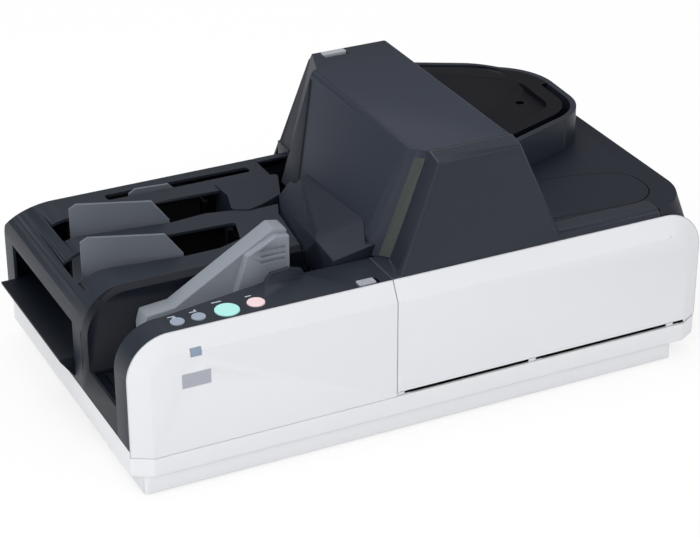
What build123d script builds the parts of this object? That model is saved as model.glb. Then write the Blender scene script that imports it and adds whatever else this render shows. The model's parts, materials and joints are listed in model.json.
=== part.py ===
from build123d import *
from math import cos, radians, sin
import os

os.makedirs("parts", exist_ok=True)

# Cheque scanner. Millimetres. X runs along the long side, Y to the back, Z up from the table.
# Sketch planes below are centred on the body, which sits mid_x right of the origin because
# the sorter lip stands out at the left end.

# ---- casing ----
body_length = 500.0
body_depth = 290.0
lip_reach = 12.0           # how far the sorter lip stands out at the left end
mid_x = lip_reach / 2
half_length = body_length / 2
half_depth = body_depth / 2
front = -half_depth
rear = half_depth
wall = 2.5                 # moulded casing wall
fit_gap = 0.3              # gap between casing pieces
seam_gap = 0.6             # gap round a cover that opens
foot_height = 2.0          # rubber feet below the plinth
foot_radius = 8.0
foot_recess = 1.0
plinth_left = 8.0          # plinth set back from the left end
plinth_right = 25.0        # and from the right end
plinth_setback = 2.0       # and from the front face
band_bottom = 17.0         # underside of the base band
base_wall = 3.0
sill_top = 32.6            # front of the base, under the white covers
base_top = 38.0            # sides and back of the base
front_block = (front + plinth_setback, front + 88.0)
rear_block = (rear - 112.0, rear - 12.0)
shell_top = 132.0          # white front covers
end_radius = 35.0          # round shoulder of every cover at the ends
bevel_width = 16.0
bevel_depth = 9.0
seam_x = -31.0             # seam between the fixed and the opening front cover
corner_soft = 3.0

foot_x = (25.0 - half_length, half_length - 42.0)
foot_places = [(foot_x[0], front + 17.0), (foot_x[1], front + 17.0), (-8.0, front + 73.0),
               (foot_x[0], rear - 27.0), (foot_x[1], rear - 27.0)]
post_x = (35.0 - half_length, 0.0, half_length - 45.0)
post_places = [(x, y) for x in post_x for y in (front + 45.0, rear - 45.0)]
post_radius = 5.0
screw_radius = 1.5

# ---- front cover hinge and swing ----
hinge_setback = 1.8        # hinge pin behind the front face
hinge_z = 34.3
rear_hinge_z = 40.8
pin_radius = 0.8
barrel_radius = 1.5
barrel_length = 6.0
barrel_root = 23.0         # foot of each barrel on the base
running_gap = 0.05
front_hinges = (-25.0, 93.0, half_length - 27.0)
rear_hinges = (-20.0, 100.0, half_length - 24.0)

# ---- control panel and buttons ----
panel_top = 131.5
panel_left = front + 33.5  # rear edge of the panel at the left end
slit_back = front + 50.0   # and at the right, where the cheques leave the hopper
panel_bends = (-211.0, -121.0)
button_rise = 1.0
button_depth = 6.0
button_gap = 0.3
flange_extra = 1.5
buttons = {                # x, y, radius
    "menu_button_left": (-203.0, -123.5, 5.6),
    "menu_button_right": (-186.0, -123.4, 5.6),
    "start_button": (-163.0, -123.2, 9.7),
    "stop_button": (-139.0, -122.0, 7.0),
}
panel_right = seam_x - fit_gap
board_z = 120.0
latch_x = (-58.5, -40.5)
latch_y = (-134.5, -125.5)
pickup_window = (-115.0, -91.0)
pickup_z = (70.0, 112.0)
guard_points = ((-122.0, 130.0), (-116.0, 139.0), (-101.0, 140.5), (-90.0, 137.0), (-87.0, 130.0))
guard_depth = 3.5          # guard over the feed roller, on the edge of the panel
badge_x = (-209.2, -186.2)
badge_z = (86.9, 98.7)
badge_depth = 1.2
window_x = (-202.0, -193.0)
window_z = (112.0, 118.6)

# ---- hopper ----
hopper_back = front + 94.0 # rear wall of the trench
hopper_right = -62.0
hopper_floor = 56.0
lip_top = 64.0
divider_back = hopper_back + 13.5
ledge_top = 121.0
ledge_run = 8.0            # chamfered ledge on top of the divider
cover_top = 127.0          # pocket cover

# ---- document guide ----
guide_front = -75.0
guide_back = -58.0
guide_left = -212.0
guide_slot_x = (-134.0, -116.0)
guide_slot_y = (-89.5, -59.4)
guide_right = -92.0
guide_peak = 163.0
guide_low = 113.0
plate_lift = 2.5                # hopper plate above the trench floor
buttress = 6.0
rail_radius = 3.0
rail_x = -125.0
rail_z = 47.0

# ---- pockets ----
slots = ((-21.0, 28.0), (38.0, 82.0), (97.0, 109.0))     # front and rear of each slot
slot_points = (                 # outlines of the slots in the pocket cover
    ((-240.0, -10.0), (-153.0, -21.0), (-125.0, -20.5), (-104.0, -13.0), (-96.0, 16.0), (-158.0, 19.5),
     (-228.0, 25.0), (-240.0, 28.0)),
    ((-230.0, 50.0), (-142.0, 38.0), (-112.0, 41.0), (-87.0, 35.5), (-78.0, 75.0), (-143.5, 79.0),
     (-217.0, 82.0), (-230.0, 82.0)),
    ((-174.0, 98.5), (-112.0, 97.0), (-46.0, 97.0), (-46.0, 107.0), (-112.0, 108.5), (-174.0, 109.0)),
)
slot_left = -240.0
pocket_floor = 60.0
rear_bevel_start = 119.0
rear_bevel_end = 100.0
recess_y = (-19.0, 125.0)
recess_z = (60.0, 91.0)
lip_thickness = 3.0
tub_left = -230.0
plate_thickness = 2.0
pivot_radius = 2.0
plate_hub = 3.6
hub_drop = 23.0                 # hub of each plate below its top
pocket_plates = (               # pivot x, pivot y, length, top, corner cut, resting swing
    (-152.5, -17.0, 82.0, 145.0, (16.0, 20.0), 20.4),
    (-140.5, 42.0, 82.0, 145.0, (16.0, 20.0), 20.4),
    (-112.0, 100.6, 42.0, 129.5, (8.0, 8.0), 6.0),
)

walls_right = -100.0            # right end of the tub's dividers
ramp_edge = ((-61.7, -95.5), (-62.5, -62.5), (-67.5, -53.5), (-58.5, 14.0), (-47.5, 41.0), (-40.0, 60.0),
             (-33.0, 84.0))     # left edge of the room for the ramp and the hood
wedge_hole = ((-77.0, 30.0), (-47.5, 31.0), (-43.0, 45.0))

# ---- hood ----
hood_bottom = 131.0
hood_top = 217.0
hood_foot = (-35.0, 121.5)      # left and right at the bottom
hood_crown = (2.0, 88.0)        # left and right at the top
hood_front = front + 41.8
hood_round = 6.0
split_low = (40.0, 147.0)       # y, z of the seam of the rear cover
split_high = (78.0, 216.0)
lift_clear_y = 28.0             # behind this line the rear cover lifts past its neighbours
cap_front_low = -135.7
cap_front_high = -119.0
cap_left_low = -25.5
cap_left_high = 18.0
cap_drop = 4.0                  # slope of the top of the cap
rear_chamfer = ((110.0, 217.5), (116.6, 208.5))         # y, z of the softened rear top edge
corner_low, corner_high = 129.0, 219.0                  # chamfered front left corner, at two heights
corner_foot = ((-36.0, -80.0), (-30.9, -89.0), (-24.1, -95.2), (-17.2, hood_front - 0.1))
corner_crown = ((2.8, -88.0), (5.4, -93.6), (9.8, -97.2), (16.2, hood_front - 0.1))
ramp_bottom = 112.0
ramp_top = ((-26.8, 41.0, 150.0), (-25.0, -74.0, 154.5), (-60.4, -61.0, 138.0))
ramp_back = ((-26.8, 41.0, 150.0), (-52.5, -23.0, 140.3), (-55.0, 14.0, 127.0))
ramp_left = ((-60.4, -61.0, 138.0), (-52.5, -23.0, 140.3), (-59.8, -23.0, 127.0))
ramp_front = ((-60.4, -61.0, 138.0), (-25.0, -74.0, 154.5), (-30.0, -92.0, 139.5))
ramp_step = ((-59.8, -92.0, 134.0), (-30.0, -93.0, 139.5), (-60.4, -61.0, 138.0))
ramp_end = (-60.2, -57.9)       # wall under the ramp that closes the right end of the trench
rear_corner = (((-21.0, 60.0), (-4.0, 113.0)), ((7.0, 78.0), (19.0, 114.0)))    # cut-off corner, low and high

hood_latch_x = (24.0, 46.0)
hood_latch_y = (98.0, 109.0)
inlet_x = (150.0, 205.0)           # opening in the rear cover for the sockets
inlet_z = (43.5, 55.5)

# ---- right deck, lid and loop ----
deck_top = 138.0
deck_right = half_length - 4.0
deck_shoulder = 97.0            # above this height the front right corner rounds off
deck_radii = (6.0, 6.0, 45.0)
rear_cover_left = -34.0
deck_front = front + 28.7
strip_right = half_length - 40.0
lid_points = ((122.5, -34.0), (226.0, -60.0), (225.0, -117.5), (122.5, -110.5))
lid_tip_radius = 28.0
lid_thickness = 2.5
lid_depth = 26.0
lid_pan = (134.0, 196.0, -104.0, -64.0)
island_hole = (188.0, 54.0)
island_posts = ((150.0, 20.0), (145.0, 106.0), (200.0, 88.0))
loop_path = ((70.0, 131.0), (233.0, 131.0), (228.0, 10.0), (70.0, -50.5))
loop_radii = (57.0, 45.0)
loop_wall = 5.0
loop_slot = 7.0
loop_rim = 166.0
loop_rise = 20.0                # the rim climbs towards the hood at the back
island_rim = 13.0
island_floor = 161.5
climb_right = 205.0             # where the rim starts to climb
dish_back = ((60.0, 17.0), (240.0, 90.0))               # line along which the dish turns up to the back
dish_slope = ((150.7, 53.8, 161.5), (195.6, 72.0, 161.5), (150.0, 107.0, 179.0))
bridge_thickness = 1.5          # cover over the slot in the rear corner of the turn
bridge_area = ((196.0, 100.0), (196.0, 140.0), (240.0, 140.0), (240.0, 72.0), (214.0, 72.0))

# ---- transport inside ----
chassis_z = 26.0
chassis_thickness = 1.5
path_start = (-20.0, slit_back + 1.5)
path_angle = 24.0
path_length = 140.0
path_gap = 5.0
path_wall = 2.5
path_bottom = 52.0
path_top = 150.0
entry_x = (-60.0, -21.0)       # straight entry between the trench and the path
entry_top = 110.0
shaft_radius = 3.0
roller_radius = 9.0
pinch_radius = 7.0
pinch_shaft = 2.0
paper_reach = 2.3              # rollers stand this far into the paper gap
roller_low = 84.0
roller_height = 36.0
pulley_radius = 8.0
belt_z = 42.0
drive_stations = (30.0, path_length - 18.0)
sensor_station = path_length - 48.0
head_station = 62.0
feed_radius = 10.0
feed_place = (-103.0, slit_back - 8.5)
motor_place = (20.0, 0.0)
motor_radius = 20.0
motor_height = 7.5
belt_thickness = 1.5
belt_width = 6.0
separation_x = -48.0
pulley_height = 10.0
loop_roller_y = 62.0
loop_reach = 3.3               # the same in the wider slot of the loop
return_run = (-40.0, 125.0)    # straight guide walls behind the hood, towards the pockets
return_top = 112.0
socket_shelf = (42.0, 44.0)
lid_axis = (124.35, 136.75)    # x, z of the lid hinge
lid_pin_radius = 0.6
lid_knuckles = (-95.0, -50.0)
gates = {                      # pivot x, y and the way the vane points along Y
    "diverter_gate_back": (-92.0, 90.0, 1),
    "diverter_gate_front": (-93.0, 32.0, -1),
}
gate_reach = 15.0
gate_top = 112.0
housing_points = ((-90.0, 37.0), (-83.0, 62.0), (-84.5, 86.0), (-77.0, 89.5), (-29.0, 81.0), (-43.0, 45.0),
                  (-64.0, 34.5), (-77.0, 30.5))
wide = 2 * body_length         # beyond every piece
everything = (-wide, wide)


def level(z):
    """Horizontal plane at a height, centred on the body."""
    return Plane(origin=(mid_x, 0, z), x_dir=(1, 0, 0), z_dir=(0, 0, 1))


def across(y):
    """Upright plane seen from the front: sketch X is X, sketch Y is Z, extrusion runs to the front."""
    return Plane(origin=(mid_x, y, 0), x_dir=(1, 0, 0), z_dir=(0, -1, 0))


def along(x):
    """Upright plane seen from the right: sketch X is Y, sketch Y is Z, extrusion runs to the right."""
    return Plane(origin=(mid_x + x, 0, 0), x_dir=(0, 1, 0), z_dir=(1, 0, 0))


def block(x, y, z, mode=Mode.ADD, rounding=0.0):
    """Box between (low, high) pairs, with its upright edges rounded."""
    with BuildSketch(level(z[0])) as face:
        with Locations(((x[0] + x[1]) / 2, (y[0] + y[1]) / 2)):
            Rectangle(x[1] - x[0], y[1] - y[0])
        if rounding:
            fillet(face.vertices(), rounding)
    extrude(face.sketch, amount=z[1] - z[0], mode=mode)


def prism(plane, points, amount, mode=Mode.ADD, rounding=0.0):
    """Straight solid on a polygon."""
    with BuildSketch(plane) as face:
        with BuildLine():
            Polyline(*points, close=True)
        make_face()
        if rounding:
            fillet(face.vertices(), rounding)
    extrude(face.sketch, amount=amount, mode=mode)


def rod(plane, centre, radius, amount, mode=Mode.ADD):
    """Round bar or hole from a plane."""
    with BuildSketch(plane) as face:
        with Locations(centre):
            Circle(radius)
    extrude(face.sketch, amount=amount, mode=mode)


def shoulder(plane, x, z, radius):
    """Body outline seen from the front: square foot, round shoulders."""
    with BuildSketch(plane) as face:
        with Locations(((x[0] + x[1]) / 2, (z[0] + z[1]) / 2)):
            Rectangle(x[1] - x[0], z[1] - z[0])
        fillet(face.vertices().group_by(Axis.Y)[-1], radius)
    return face.sketch


def footprint(plane, inset):
    """Base outline from above, with the corner bevel of the front covers."""
    x, y = half_length - inset, half_depth - inset
    a, b = bevel_width, bevel_depth
    with BuildSketch(plane) as face:
        with BuildLine():
            Polyline((a - x, -y), (x - a, -y), (x, b - y), (x, y - b), (x - a, y),
                     (a - x, y), (-x, y - b), (-x, b - y), close=True)
        make_face()
        fillet(face.vertices(), corner_soft)
    return face.sketch


def path_point(distance, side):
    """Point on the paper path through the hood; side is positive towards the island."""
    turn = radians(path_angle)
    return (path_start[0] + distance * cos(turn) - side * sin(turn),
            path_start[1] + distance * sin(turn) + side * cos(turn))


def loop_face(y, inset):
    """X of a face of the loop at its right end, inset from its outer face."""
    (far_x, far_y), (near_x, near_y) = loop_path[1], loop_path[2]
    return near_x + (far_x - near_x) * (y - near_y) / (far_y - near_y) - inset


chassis_top = chassis_z + chassis_thickness
half = path_gap / 2
drive_side = -half - roller_radius + paper_reach
pinch_side = half + pinch_radius - paper_reach
loop_drive = (loop_face(loop_roller_y, loop_wall + loop_slot) - roller_radius + loop_reach, loop_roller_y)
loop_pinch = (loop_face(loop_roller_y, loop_wall) + pinch_radius - loop_reach, loop_roller_y)
separation_place = (separation_x, path_start[1] + half + roller_radius - paper_reach)
driven_shafts = [feed_place, loop_drive] + [path_point(s, drive_side) for s in drive_stations]
belt_stops = driven_shafts + [motor_place]


# ================= base =================
with BuildPart() as base_tray:
    extrude(footprint(level(band_bottom), 0), amount=base_top - band_bottom)
    extrude(footprint(level(band_bottom + base_wall), base_wall),
            amount=base_top - band_bottom, mode=Mode.SUBTRACT)
    for low, high in (front_block, rear_block):
        ends = (plinth_left - half_length, half_length - plinth_right)
        block(ends, (low, high), (foot_height, band_bottom), rounding=4.0)
        inner = (ends[0] + base_wall, ends[1] - base_wall)
        block(inner, (low + base_wall, high - base_wall),
              (foot_height + base_wall, band_bottom + base_wall + 1), Mode.SUBTRACT)
    # the front drops to the sill that the white covers stand on
    block((-half_length - 1, half_length + 1), (-half_depth - 1, bevel_depth + 0.5 - half_depth),
          (sill_top, base_top + 1), Mode.SUBTRACT)
    for place in foot_places:
        rod(level(foot_height), place, foot_radius + running_gap, foot_recess, Mode.SUBTRACT)
    # posts for the chassis plate, standing in the hollow plinth
    for place in post_places:
        rod(level(foot_height + 1), place, post_radius, chassis_z - foot_height - 1)
        rod(level(band_bottom), place, screw_radius, chassis_z - band_bottom, Mode.SUBTRACT)
    # hinge barrels for the two covers
    for x in front_hinges:
        prism(along(x - barrel_length),
              [(front + 2.5, barrel_root), (front + 2.5, hinge_z), (front + 3.3, hinge_z),
               (front + 5.5, hinge_z - 4.3), (front + 5.5, barrel_root)], barrel_length)
        rod(along(x - barrel_length), (hinge_setback - half_depth, hinge_z), barrel_radius, barrel_length)
        rod(along(x - barrel_length), (hinge_setback - half_depth, hinge_z), pin_radius, barrel_length,
            Mode.SUBTRACT)
    for x in rear_hinges:
        prism(along(x - barrel_length),
              [(rear - 3.8, barrel_root), (rear - 3.8, rear_hinge_z - 0.5), (rear - 3.2, rear_hinge_z),
               (rear - 0.6, rear_hinge_z), (rear - 0.6, barrel_root)], barrel_length)
        centre = (half_depth - hinge_setback, rear_hinge_z)
        rod(along(x - barrel_length), centre, barrel_radius, barrel_length)
        rod(along(x - barrel_length), centre, pin_radius, barrel_length, Mode.SUBTRACT)
base_tray.part.label = "base_tray"
export_step(base_tray.part, "parts/base_tray.step")

with BuildPart() as rubber_feet:
    for place in foot_places:
        rod(level(0), place, foot_radius, foot_height + foot_recess)
rubber_feet.part.label = "rubber_feet"
export_step(rubber_feet.part, "parts/rubber_feet.step")

with BuildPart() as chassis_plate:
    block((18 - half_length, half_length - 26), (front + 19, rear - 19), (chassis_z, chassis_top), rounding=6.0)
    block((-112, -66), (-48, 40), (chassis_z, chassis_top), Mode.SUBTRACT, rounding=8.0)
    for place in post_places:
        rod(level(chassis_z), place, screw_radius, chassis_thickness, Mode.SUBTRACT)
    for x in (-222.0, -128.0):                       # stand-offs for the main board
        for y in (-42.0, 22.0):
            rod(level(chassis_top), (x, y), 3.0, 4.0)
    for x in (-205.0, -90.0):                        # stands for the hopper tray
        for y in (slit_back + 7.0, -60.0):
            rod(level(chassis_top), (x, y), 4.0, hopper_floor - chassis_top)
    for x in (-214.0, -68.0):                        # stands for the pocket tub
        for y in (60.0, 112.0):
            rod(level(chassis_top), (x, y), 4.0, pocket_floor - 2 - chassis_top)
    for s in (10.0, path_length - 30.0):             # stands for the path frame
        for side in (-6.0, 6.0):
            rod(level(chassis_top), path_point(s, side), 3.5, path_bottom - chassis_top)
    # bent bracket with two arms that carry the feed roller
    bracket_x = (feed_place[0] - 9, feed_place[0] + 9)
    bracket_y = (feed_place[1] - feed_radius - 5, feed_place[1] - feed_radius - 2.5)
    block(bracket_x, (bracket_y[0], feed_place[1] - 8), (chassis_z, chassis_z + chassis_thickness))
    block(bracket_x, bracket_y, (chassis_z, pickup_z[1] + 4))
    for z in (pickup_z[0] - 4, pickup_z[1] + 1):
        block(bracket_x, (bracket_y[0], slit_back - wall - fit_gap), (z, z + 3))
    # bent shelf for the sockets at the back
    block(inlet_x, (rear - 27, rear - 25), (chassis_z, socket_shelf[1]))
    block(inlet_x, (rear - 27, half_depth - wall - 3), socket_shelf)
    # shaft holes
    for place in driven_shafts:
        rod(level(chassis_z - 1), place, shaft_radius + running_gap, pickup_z[1] + 6 - chassis_z,
            Mode.SUBTRACT)
chassis_plate.part.label = "chassis_plate"
export_step(chassis_plate.part, "parts/chassis_plate.step")

with BuildPart() as chassis_screws:
    for place in post_places:
        rod(level(chassis_top), place, 3.0, 1.8)
        rod(level(band_bottom + 1), place, screw_radius - running_gap, chassis_top - band_bottom - 1)
chassis_screws.part.label = "chassis_screws"
export_step(chassis_screws.part, "parts/chassis_screws.step")

with BuildPart() as hinge_pins:
    for x in front_hinges:
        rod(along(x - barrel_length), (hinge_setback - half_depth, hinge_z), pin_radius,
            2 * barrel_length + seam_gap / 2)
    for x in rear_hinges:
        rod(along(x - barrel_length), (half_depth - hinge_setback, rear_hinge_z), pin_radius,
            2 * barrel_length + seam_gap / 2)
    rod(across(lid_knuckles[1] + barrel_length), lid_axis, lid_pin_radius,
        lid_knuckles[1] - lid_knuckles[0] + 2 * barrel_length)
hinge_pins.part.label = "hinge_pins"
export_step(hinge_pins.part, "parts/hinge_pins.step")


# ================= white front =================
def front_shell(bottom):
    """White front: a shallow shell whose rim is bevelled back towards the body."""
    front, back = -half_depth, bevel_depth - half_depth
    outer = [shoulder(across(back), (-half_length, half_length), (bottom, shell_top), end_radius),
             shoulder(across(front), (bevel_width - half_length, half_length - bevel_width),
                      (bottom, shell_top - bevel_width), end_radius - bevel_width)]
    loft(sections=outer, ruled=True)
    inner = [shoulder(across(back + 0.01), (wall - half_length, half_length - wall),
                      (bottom - 10, shell_top - wall), end_radius - wall),
             shoulder(across(front + wall), (bevel_width + 1 - half_length, half_length - bevel_width - 1),
                      (bottom - 10, shell_top - bevel_width - 1), end_radius - bevel_width - 1)]
    loft(sections=inner, ruled=True, mode=Mode.SUBTRACT)


with BuildPart() as front_left_cover:
    front_shell(sill_top + fit_gap)
    block((seam_x - seam_gap / 2, wide), everything, everything, Mode.SUBTRACT)
    # rib that closes the shell at the seam, and the window and badge seats
    block((seam_x - seam_gap / 2 - 2, seam_x - seam_gap / 2), (1.0 - half_depth, bevel_depth - half_depth),
          (sill_top + fit_gap, shell_top - bevel_width))
    block(badge_x, (-half_depth - 1, badge_depth - half_depth), badge_z, Mode.SUBTRACT, rounding=0)
    block(window_x, (-half_depth - 1, bevel_depth - half_depth), window_z, Mode.SUBTRACT, rounding=0)
front_left_cover.part.label = "front_left_cover"
export_step(front_left_cover.part, "parts/front_left_cover.step")

with BuildPart() as badge_plate:
    block((badge_x[0] + 0.1, badge_x[1] - 0.1), (0.1 - half_depth, badge_depth - half_depth),
          (badge_z[0] + 0.1, badge_z[1] - 0.1))
badge_plate.part.label = "badge_plate"
export_step(badge_plate.part, "parts/badge_plate.step")

with BuildPart() as indicator_lens:
    # follows the bevel: upright below its edge, sloping back above it
    bevel_low = shell_top - bevel_width
    slope = bevel_depth / bevel_width
    low, high = window_z[0] + 0.2, window_z[1] - 0.2
    face_y = 0.2 - half_depth
    prism(along(window_x[0] + 0.2),
          [(face_y, low), (face_y, bevel_low), (face_y + (high - bevel_low) * slope, high),
           (bevel_depth - half_depth, high), (bevel_depth - half_depth, low)],
          window_x[1] - window_x[0] - 0.4)
indicator_lens.part.label = "indicator_lens"
export_step(indicator_lens.part, "parts/indicator_lens.step")

with BuildPart() as front_panel:
    front_shell(hinge_z)
    block((-wide, seam_x + seam_gap / 2), everything, everything, Mode.SUBTRACT)
    block((seam_x + seam_gap / 2, seam_x + seam_gap / 2 + 2), (1.0 - half_depth, bevel_depth - half_depth),
          (hinge_z + 4, shell_top - bevel_width))
    for x in front_hinges:
        # the base barrel passes through a notch, the cover's own barrel sits beside it
        block((x - barrel_length - seam_gap / 2, x + seam_gap / 2), (-half_depth - 1, 4 - half_depth),
              (hinge_z - 3, hinge_z + barrel_radius + 0.4), Mode.SUBTRACT)
        start = along(x + seam_gap / 2)
        centre = (hinge_setback - half_depth, hinge_z)
        prism(start, [(front + 0.1, hinge_z), (front + 0.1, hinge_z + 4), (front + 2.7, hinge_z + 4),
                      (front + 3.1, hinge_z)], barrel_length)
        rod(start, centre, barrel_radius, barrel_length)
        rod(start, centre, pin_radius + running_gap, barrel_length, Mode.SUBTRACT)
front_panel.part.label = "front_panel"
export_step(front_panel.part, "parts/front_panel.step")


# ================= control panel =================
def panel_plan(back, left, setback):
    """Corners between the bent edge of the control panel, less a setback, and a line along X."""
    return [(left, back), (left, panel_left - setback), (panel_bends[0], panel_left - setback),
            (panel_bends[1], slit_back - setback), (half_length, slit_back - setback), (half_length, back)]


with BuildPart() as control_panel:
    panel_front = bevel_depth - half_depth + fit_gap
    solid = shoulder(across(slit_back), (-half_length, half_length), (base_top, panel_top), end_radius)
    extrude(solid, amount=slit_back - panel_front)
    hollow = shoulder(across(slit_back + 1), (wall - half_length, half_length - wall),
                      (base_top - 1, panel_top - wall), end_radius - wall)
    extrude(hollow, amount=slit_back - panel_front + 2, mode=Mode.SUBTRACT)
    block((panel_right, wide), everything, everything, Mode.SUBTRACT)
    prism(level(0), panel_plan(rear, -wide, 0), wide, Mode.SUBTRACT)
    # guard over the feed roller
    prism(across(slit_back), guard_points, guard_depth)
    for x, y, radius in buttons.values():
        rod(level(panel_top - 20), (x, y), radius + button_gap, 30, Mode.SUBTRACT)
    block(latch_x, latch_y, (panel_top - wall - 1, panel_top + 1), Mode.SUBTRACT)
control_panel.part.label = "control_panel"
export_step(control_panel.part, "parts/control_panel.step")

with BuildPart() as button_board:
    # board under the buttons, hung from the front wall of the hopper tray
    block((-218, -124), (front + 11, panel_left - wall - 0.8), (board_z, board_z + 1.6))
button_board.part.label = "button_board"
export_step(button_board.part, "parts/button_board.step")

for name, (x, y, radius) in buttons.items():
    with BuildPart() as button:
        rod(level(panel_top - button_depth), (x, y), radius, button_depth + button_rise)
        fillet(button.edges().filter_by(GeomType.CIRCLE).group_by(Axis.Z)[-1], 0.8)
        rod(level(panel_top - button_depth), (x, y), radius + flange_extra, 1.5)
    button.part.label = name
    export_step(button.part, f"parts/{name}.step")

with BuildPart() as front_latch:
    block((latch_x[0] + 0.4, latch_x[1] - 3.4), (latch_y[0] + 0.4, latch_y[1] - 0.4),
          (panel_top - wall, panel_top + 0.8), rounding=1.0)
    block((latch_x[0] + 1.5, latch_x[1] - 4.5), (latch_y[0] + 1.5, latch_y[1] - 1.5),
          (panel_top - 9, panel_top - wall))
front_latch.part.label = "front_latch"
export_step(front_latch.part, "parts/front_latch.step")


# ================= hopper =================
floor_top = hopper_floor + wall
ramp_room = [*ramp_edge, (half_length, ramp_edge[-1][1]), (half_length, ramp_edge[0][1])]

with BuildPart() as wall_top_cut:
    # what the control panel takes from the top of the tray's front wall
    under = shoulder(across(slit_back + 1), (wall + fit_gap - half_length, wide),
                     (base_top - 2, panel_top - wall - fit_gap), end_radius - wall - fit_gap)
    prism(level(base_top - 1), panel_plan(front, -wide, 0), wide)
    extrude(under, amount=slit_back + 2 - front, mode=Mode.SUBTRACT)

with BuildPart() as seat_cut:
    # what the pocket cover takes from the top of the divider
    seat = shoulder(across(divider_back + 1), (wall + fit_gap - half_length, wide),
                    (base_top - 1, cover_top - wall - fit_gap), end_radius - wall - fit_gap)
    block(everything, (hopper_back + ledge_run, divider_back + 1), (base_top - 1, wide))
    extrude(seat, amount=40, mode=Mode.SUBTRACT)
    block(everything, everything, (base_top - 2, 92.0), Mode.SUBTRACT)

with BuildPart() as hopper_tray:
    # one moulding: trench, front wall and the hollow divider towards the pockets
    solid = shoulder(across(divider_back), (-half_length, half_length), (base_top, cover_top), end_radius)
    extrude(solid, amount=divider_back - front)
    prism(level(0), panel_plan(-wide, -wide, wall), wide, Mode.SUBTRACT)
    block((hopper_right, wide), everything, everything, Mode.SUBTRACT)
    trench = panel_plan(hopper_back - wall, wall - half_length, 0)
    prism(level(floor_top), trench, wide, Mode.SUBTRACT)
    block((-wide, wall - half_length + 1), (panel_left, hopper_back - wall), (lip_top, wide), Mode.SUBTRACT)
    add(wall_top_cut.part, mode=Mode.SUBTRACT)
    # hollow below the floor and inside the divider
    prism(level(base_top - 1), trench, hopper_floor - base_top + 1, Mode.SUBTRACT)
    inside = shoulder(across(divider_back - wall), (wall - half_length, half_length),
                      (base_top - 1, ledge_top - wall), end_radius - wall)
    extrude(inside, amount=divider_back - hopper_back - wall, mode=Mode.SUBTRACT)
    # chamfered ledge, then the step that the pocket cover sits on
    prism(along(-wide), [(hopper_back - 1, ledge_top - 1), (hopper_back - 1, cover_top + 1),
                        (hopper_back + ledge_run + 1.4, cover_top + 1)], 2 * wide, Mode.SUBTRACT)
    add(seat_cut.part, mode=Mode.SUBTRACT)
    # slot that the foot of the document guide runs in, and the roller window
    block(guide_slot_x, guide_slot_y, (hopper_floor - 1, floor_top + 1), Mode.SUBTRACT)
    block(pickup_window, (slit_back - wall - 1, slit_back + 1), pickup_z, Mode.SUBTRACT)
    # the drive belt passes under the front wall
    block((pickup_window[0], wide), (slit_back - wall - 1, slit_back + 1), (base_top - 1, belt_z + 6),
          Mode.SUBTRACT)
    prism(level(ramp_bottom - fit_gap), ramp_room, wide, Mode.SUBTRACT)
hopper_tray.part.label = "hopper_tray"
export_step(hopper_tray.part, "parts/hopper_tray.step")

with BuildPart() as hopper_plate:
    # hard-wearing plate that the cheques stand on
    plate_y = (slit_back + 4, hopper_back - wall - 3)
    block((12 - half_length, hopper_right - 4), plate_y, (floor_top, floor_top + plate_lift), rounding=2.0)
    block(guide_slot_x, guide_slot_y, (floor_top - 1, floor_top + plate_lift + 1), Mode.SUBTRACT)
hopper_plate.part.label = "hopper_plate"
export_step(hopper_plate.part, "parts/hopper_plate.step")

with BuildPart() as document_guide:
    # thick plate with a sloping top, a buttress at the right and a foot that runs on the rail
    guide_base = floor_top + plate_lift + fit_gap
    prism(across(guide_back),
          [(guide_left, guide_base), (guide_left, guide_low - 10), (guide_left + 3, guide_low),
           (guide_left + 26, guide_low + 2), (guide_right - 11, guide_peak + 1),
           (guide_right, guide_peak - 1), (guide_right, guide_base)], guide_back - guide_front)
    prism(across(guide_front), [(guide_right - 64, guide_base), (guide_right - 36, guide_peak - 15),
                                (guide_right - 11, guide_peak - 3), (guide_right, guide_peak - 5),
                                (guide_right, guide_base)], buttress)
    # hollow from behind
    block((guide_left + 4, guide_right - 4), (guide_front + 3, guide_back + 1),
          (guide_base - 1, guide_low - 14), Mode.SUBTRACT)
    # three finger grooves across the buttress
    for step in range(3):
        z = guide_peak - 24 + 5 * step
        block((guide_right - 24, guide_right - 4),
              (guide_front - buttress - 1, guide_front - buttress + 1.5), (z, z + 2), Mode.SUBTRACT)
    block((guide_slot_x[0] + 1, guide_slot_x[1] - 1), (guide_front, guide_front + 12),
          (rail_z - rail_radius - 3, guide_base + 4))
    rod(across(guide_back), (rail_x, rail_z), rail_radius + running_gap, 60, Mode.SUBTRACT)
document_guide.part.label = "document_guide"
export_step(document_guide.part, "parts/document_guide.step")

with BuildPart() as guide_rail:
    rod(across(hopper_back - wall), (rail_x, rail_z), rail_radius,
        hopper_back - wall - slit_back - fit_gap)
guide_rail.part.label = "guide_rail"
export_step(guide_rail.part, "parts/guide_rail.step")


# ================= pockets =================
def pocket_section(plane, inset, low):
    """Section of the pocket cover: flat top and a bevel down to the back."""
    front, back = hopper_back + ledge_run + inset, half_depth - inset
    with BuildSketch(plane) as face:
        with BuildLine():
            Polyline((front, low), (front, cover_top - inset),
                     (rear_bevel_start - inset / 2, cover_top - inset), (back, rear_bevel_end - inset / 2),
                     (back, low), close=True)
        make_face()
    return face.sketch


def housing_area(plane, grow):
    """Lens-shaped outline of the diverter housing."""
    with BuildSketch(plane) as face:
        with BuildLine():
            Polyline(*housing_points, close=True)
        make_face()
        fillet(face.vertices(), 3.0)
        if grow:
            offset(amount=grow, kind=Kind.INTERSECTION)
    return face.sketch


with BuildPart() as pocket_hollow:
    extrude(pocket_section(along(wall - half_length), wall, base_top - 1), amount=wide)
    extrude(shoulder(across(half_depth), (wall - half_length, 600), (base_top - 1, cover_top - wall),
                     end_radius - wall), amount=body_depth, mode=Mode.INTERSECT)

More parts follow.
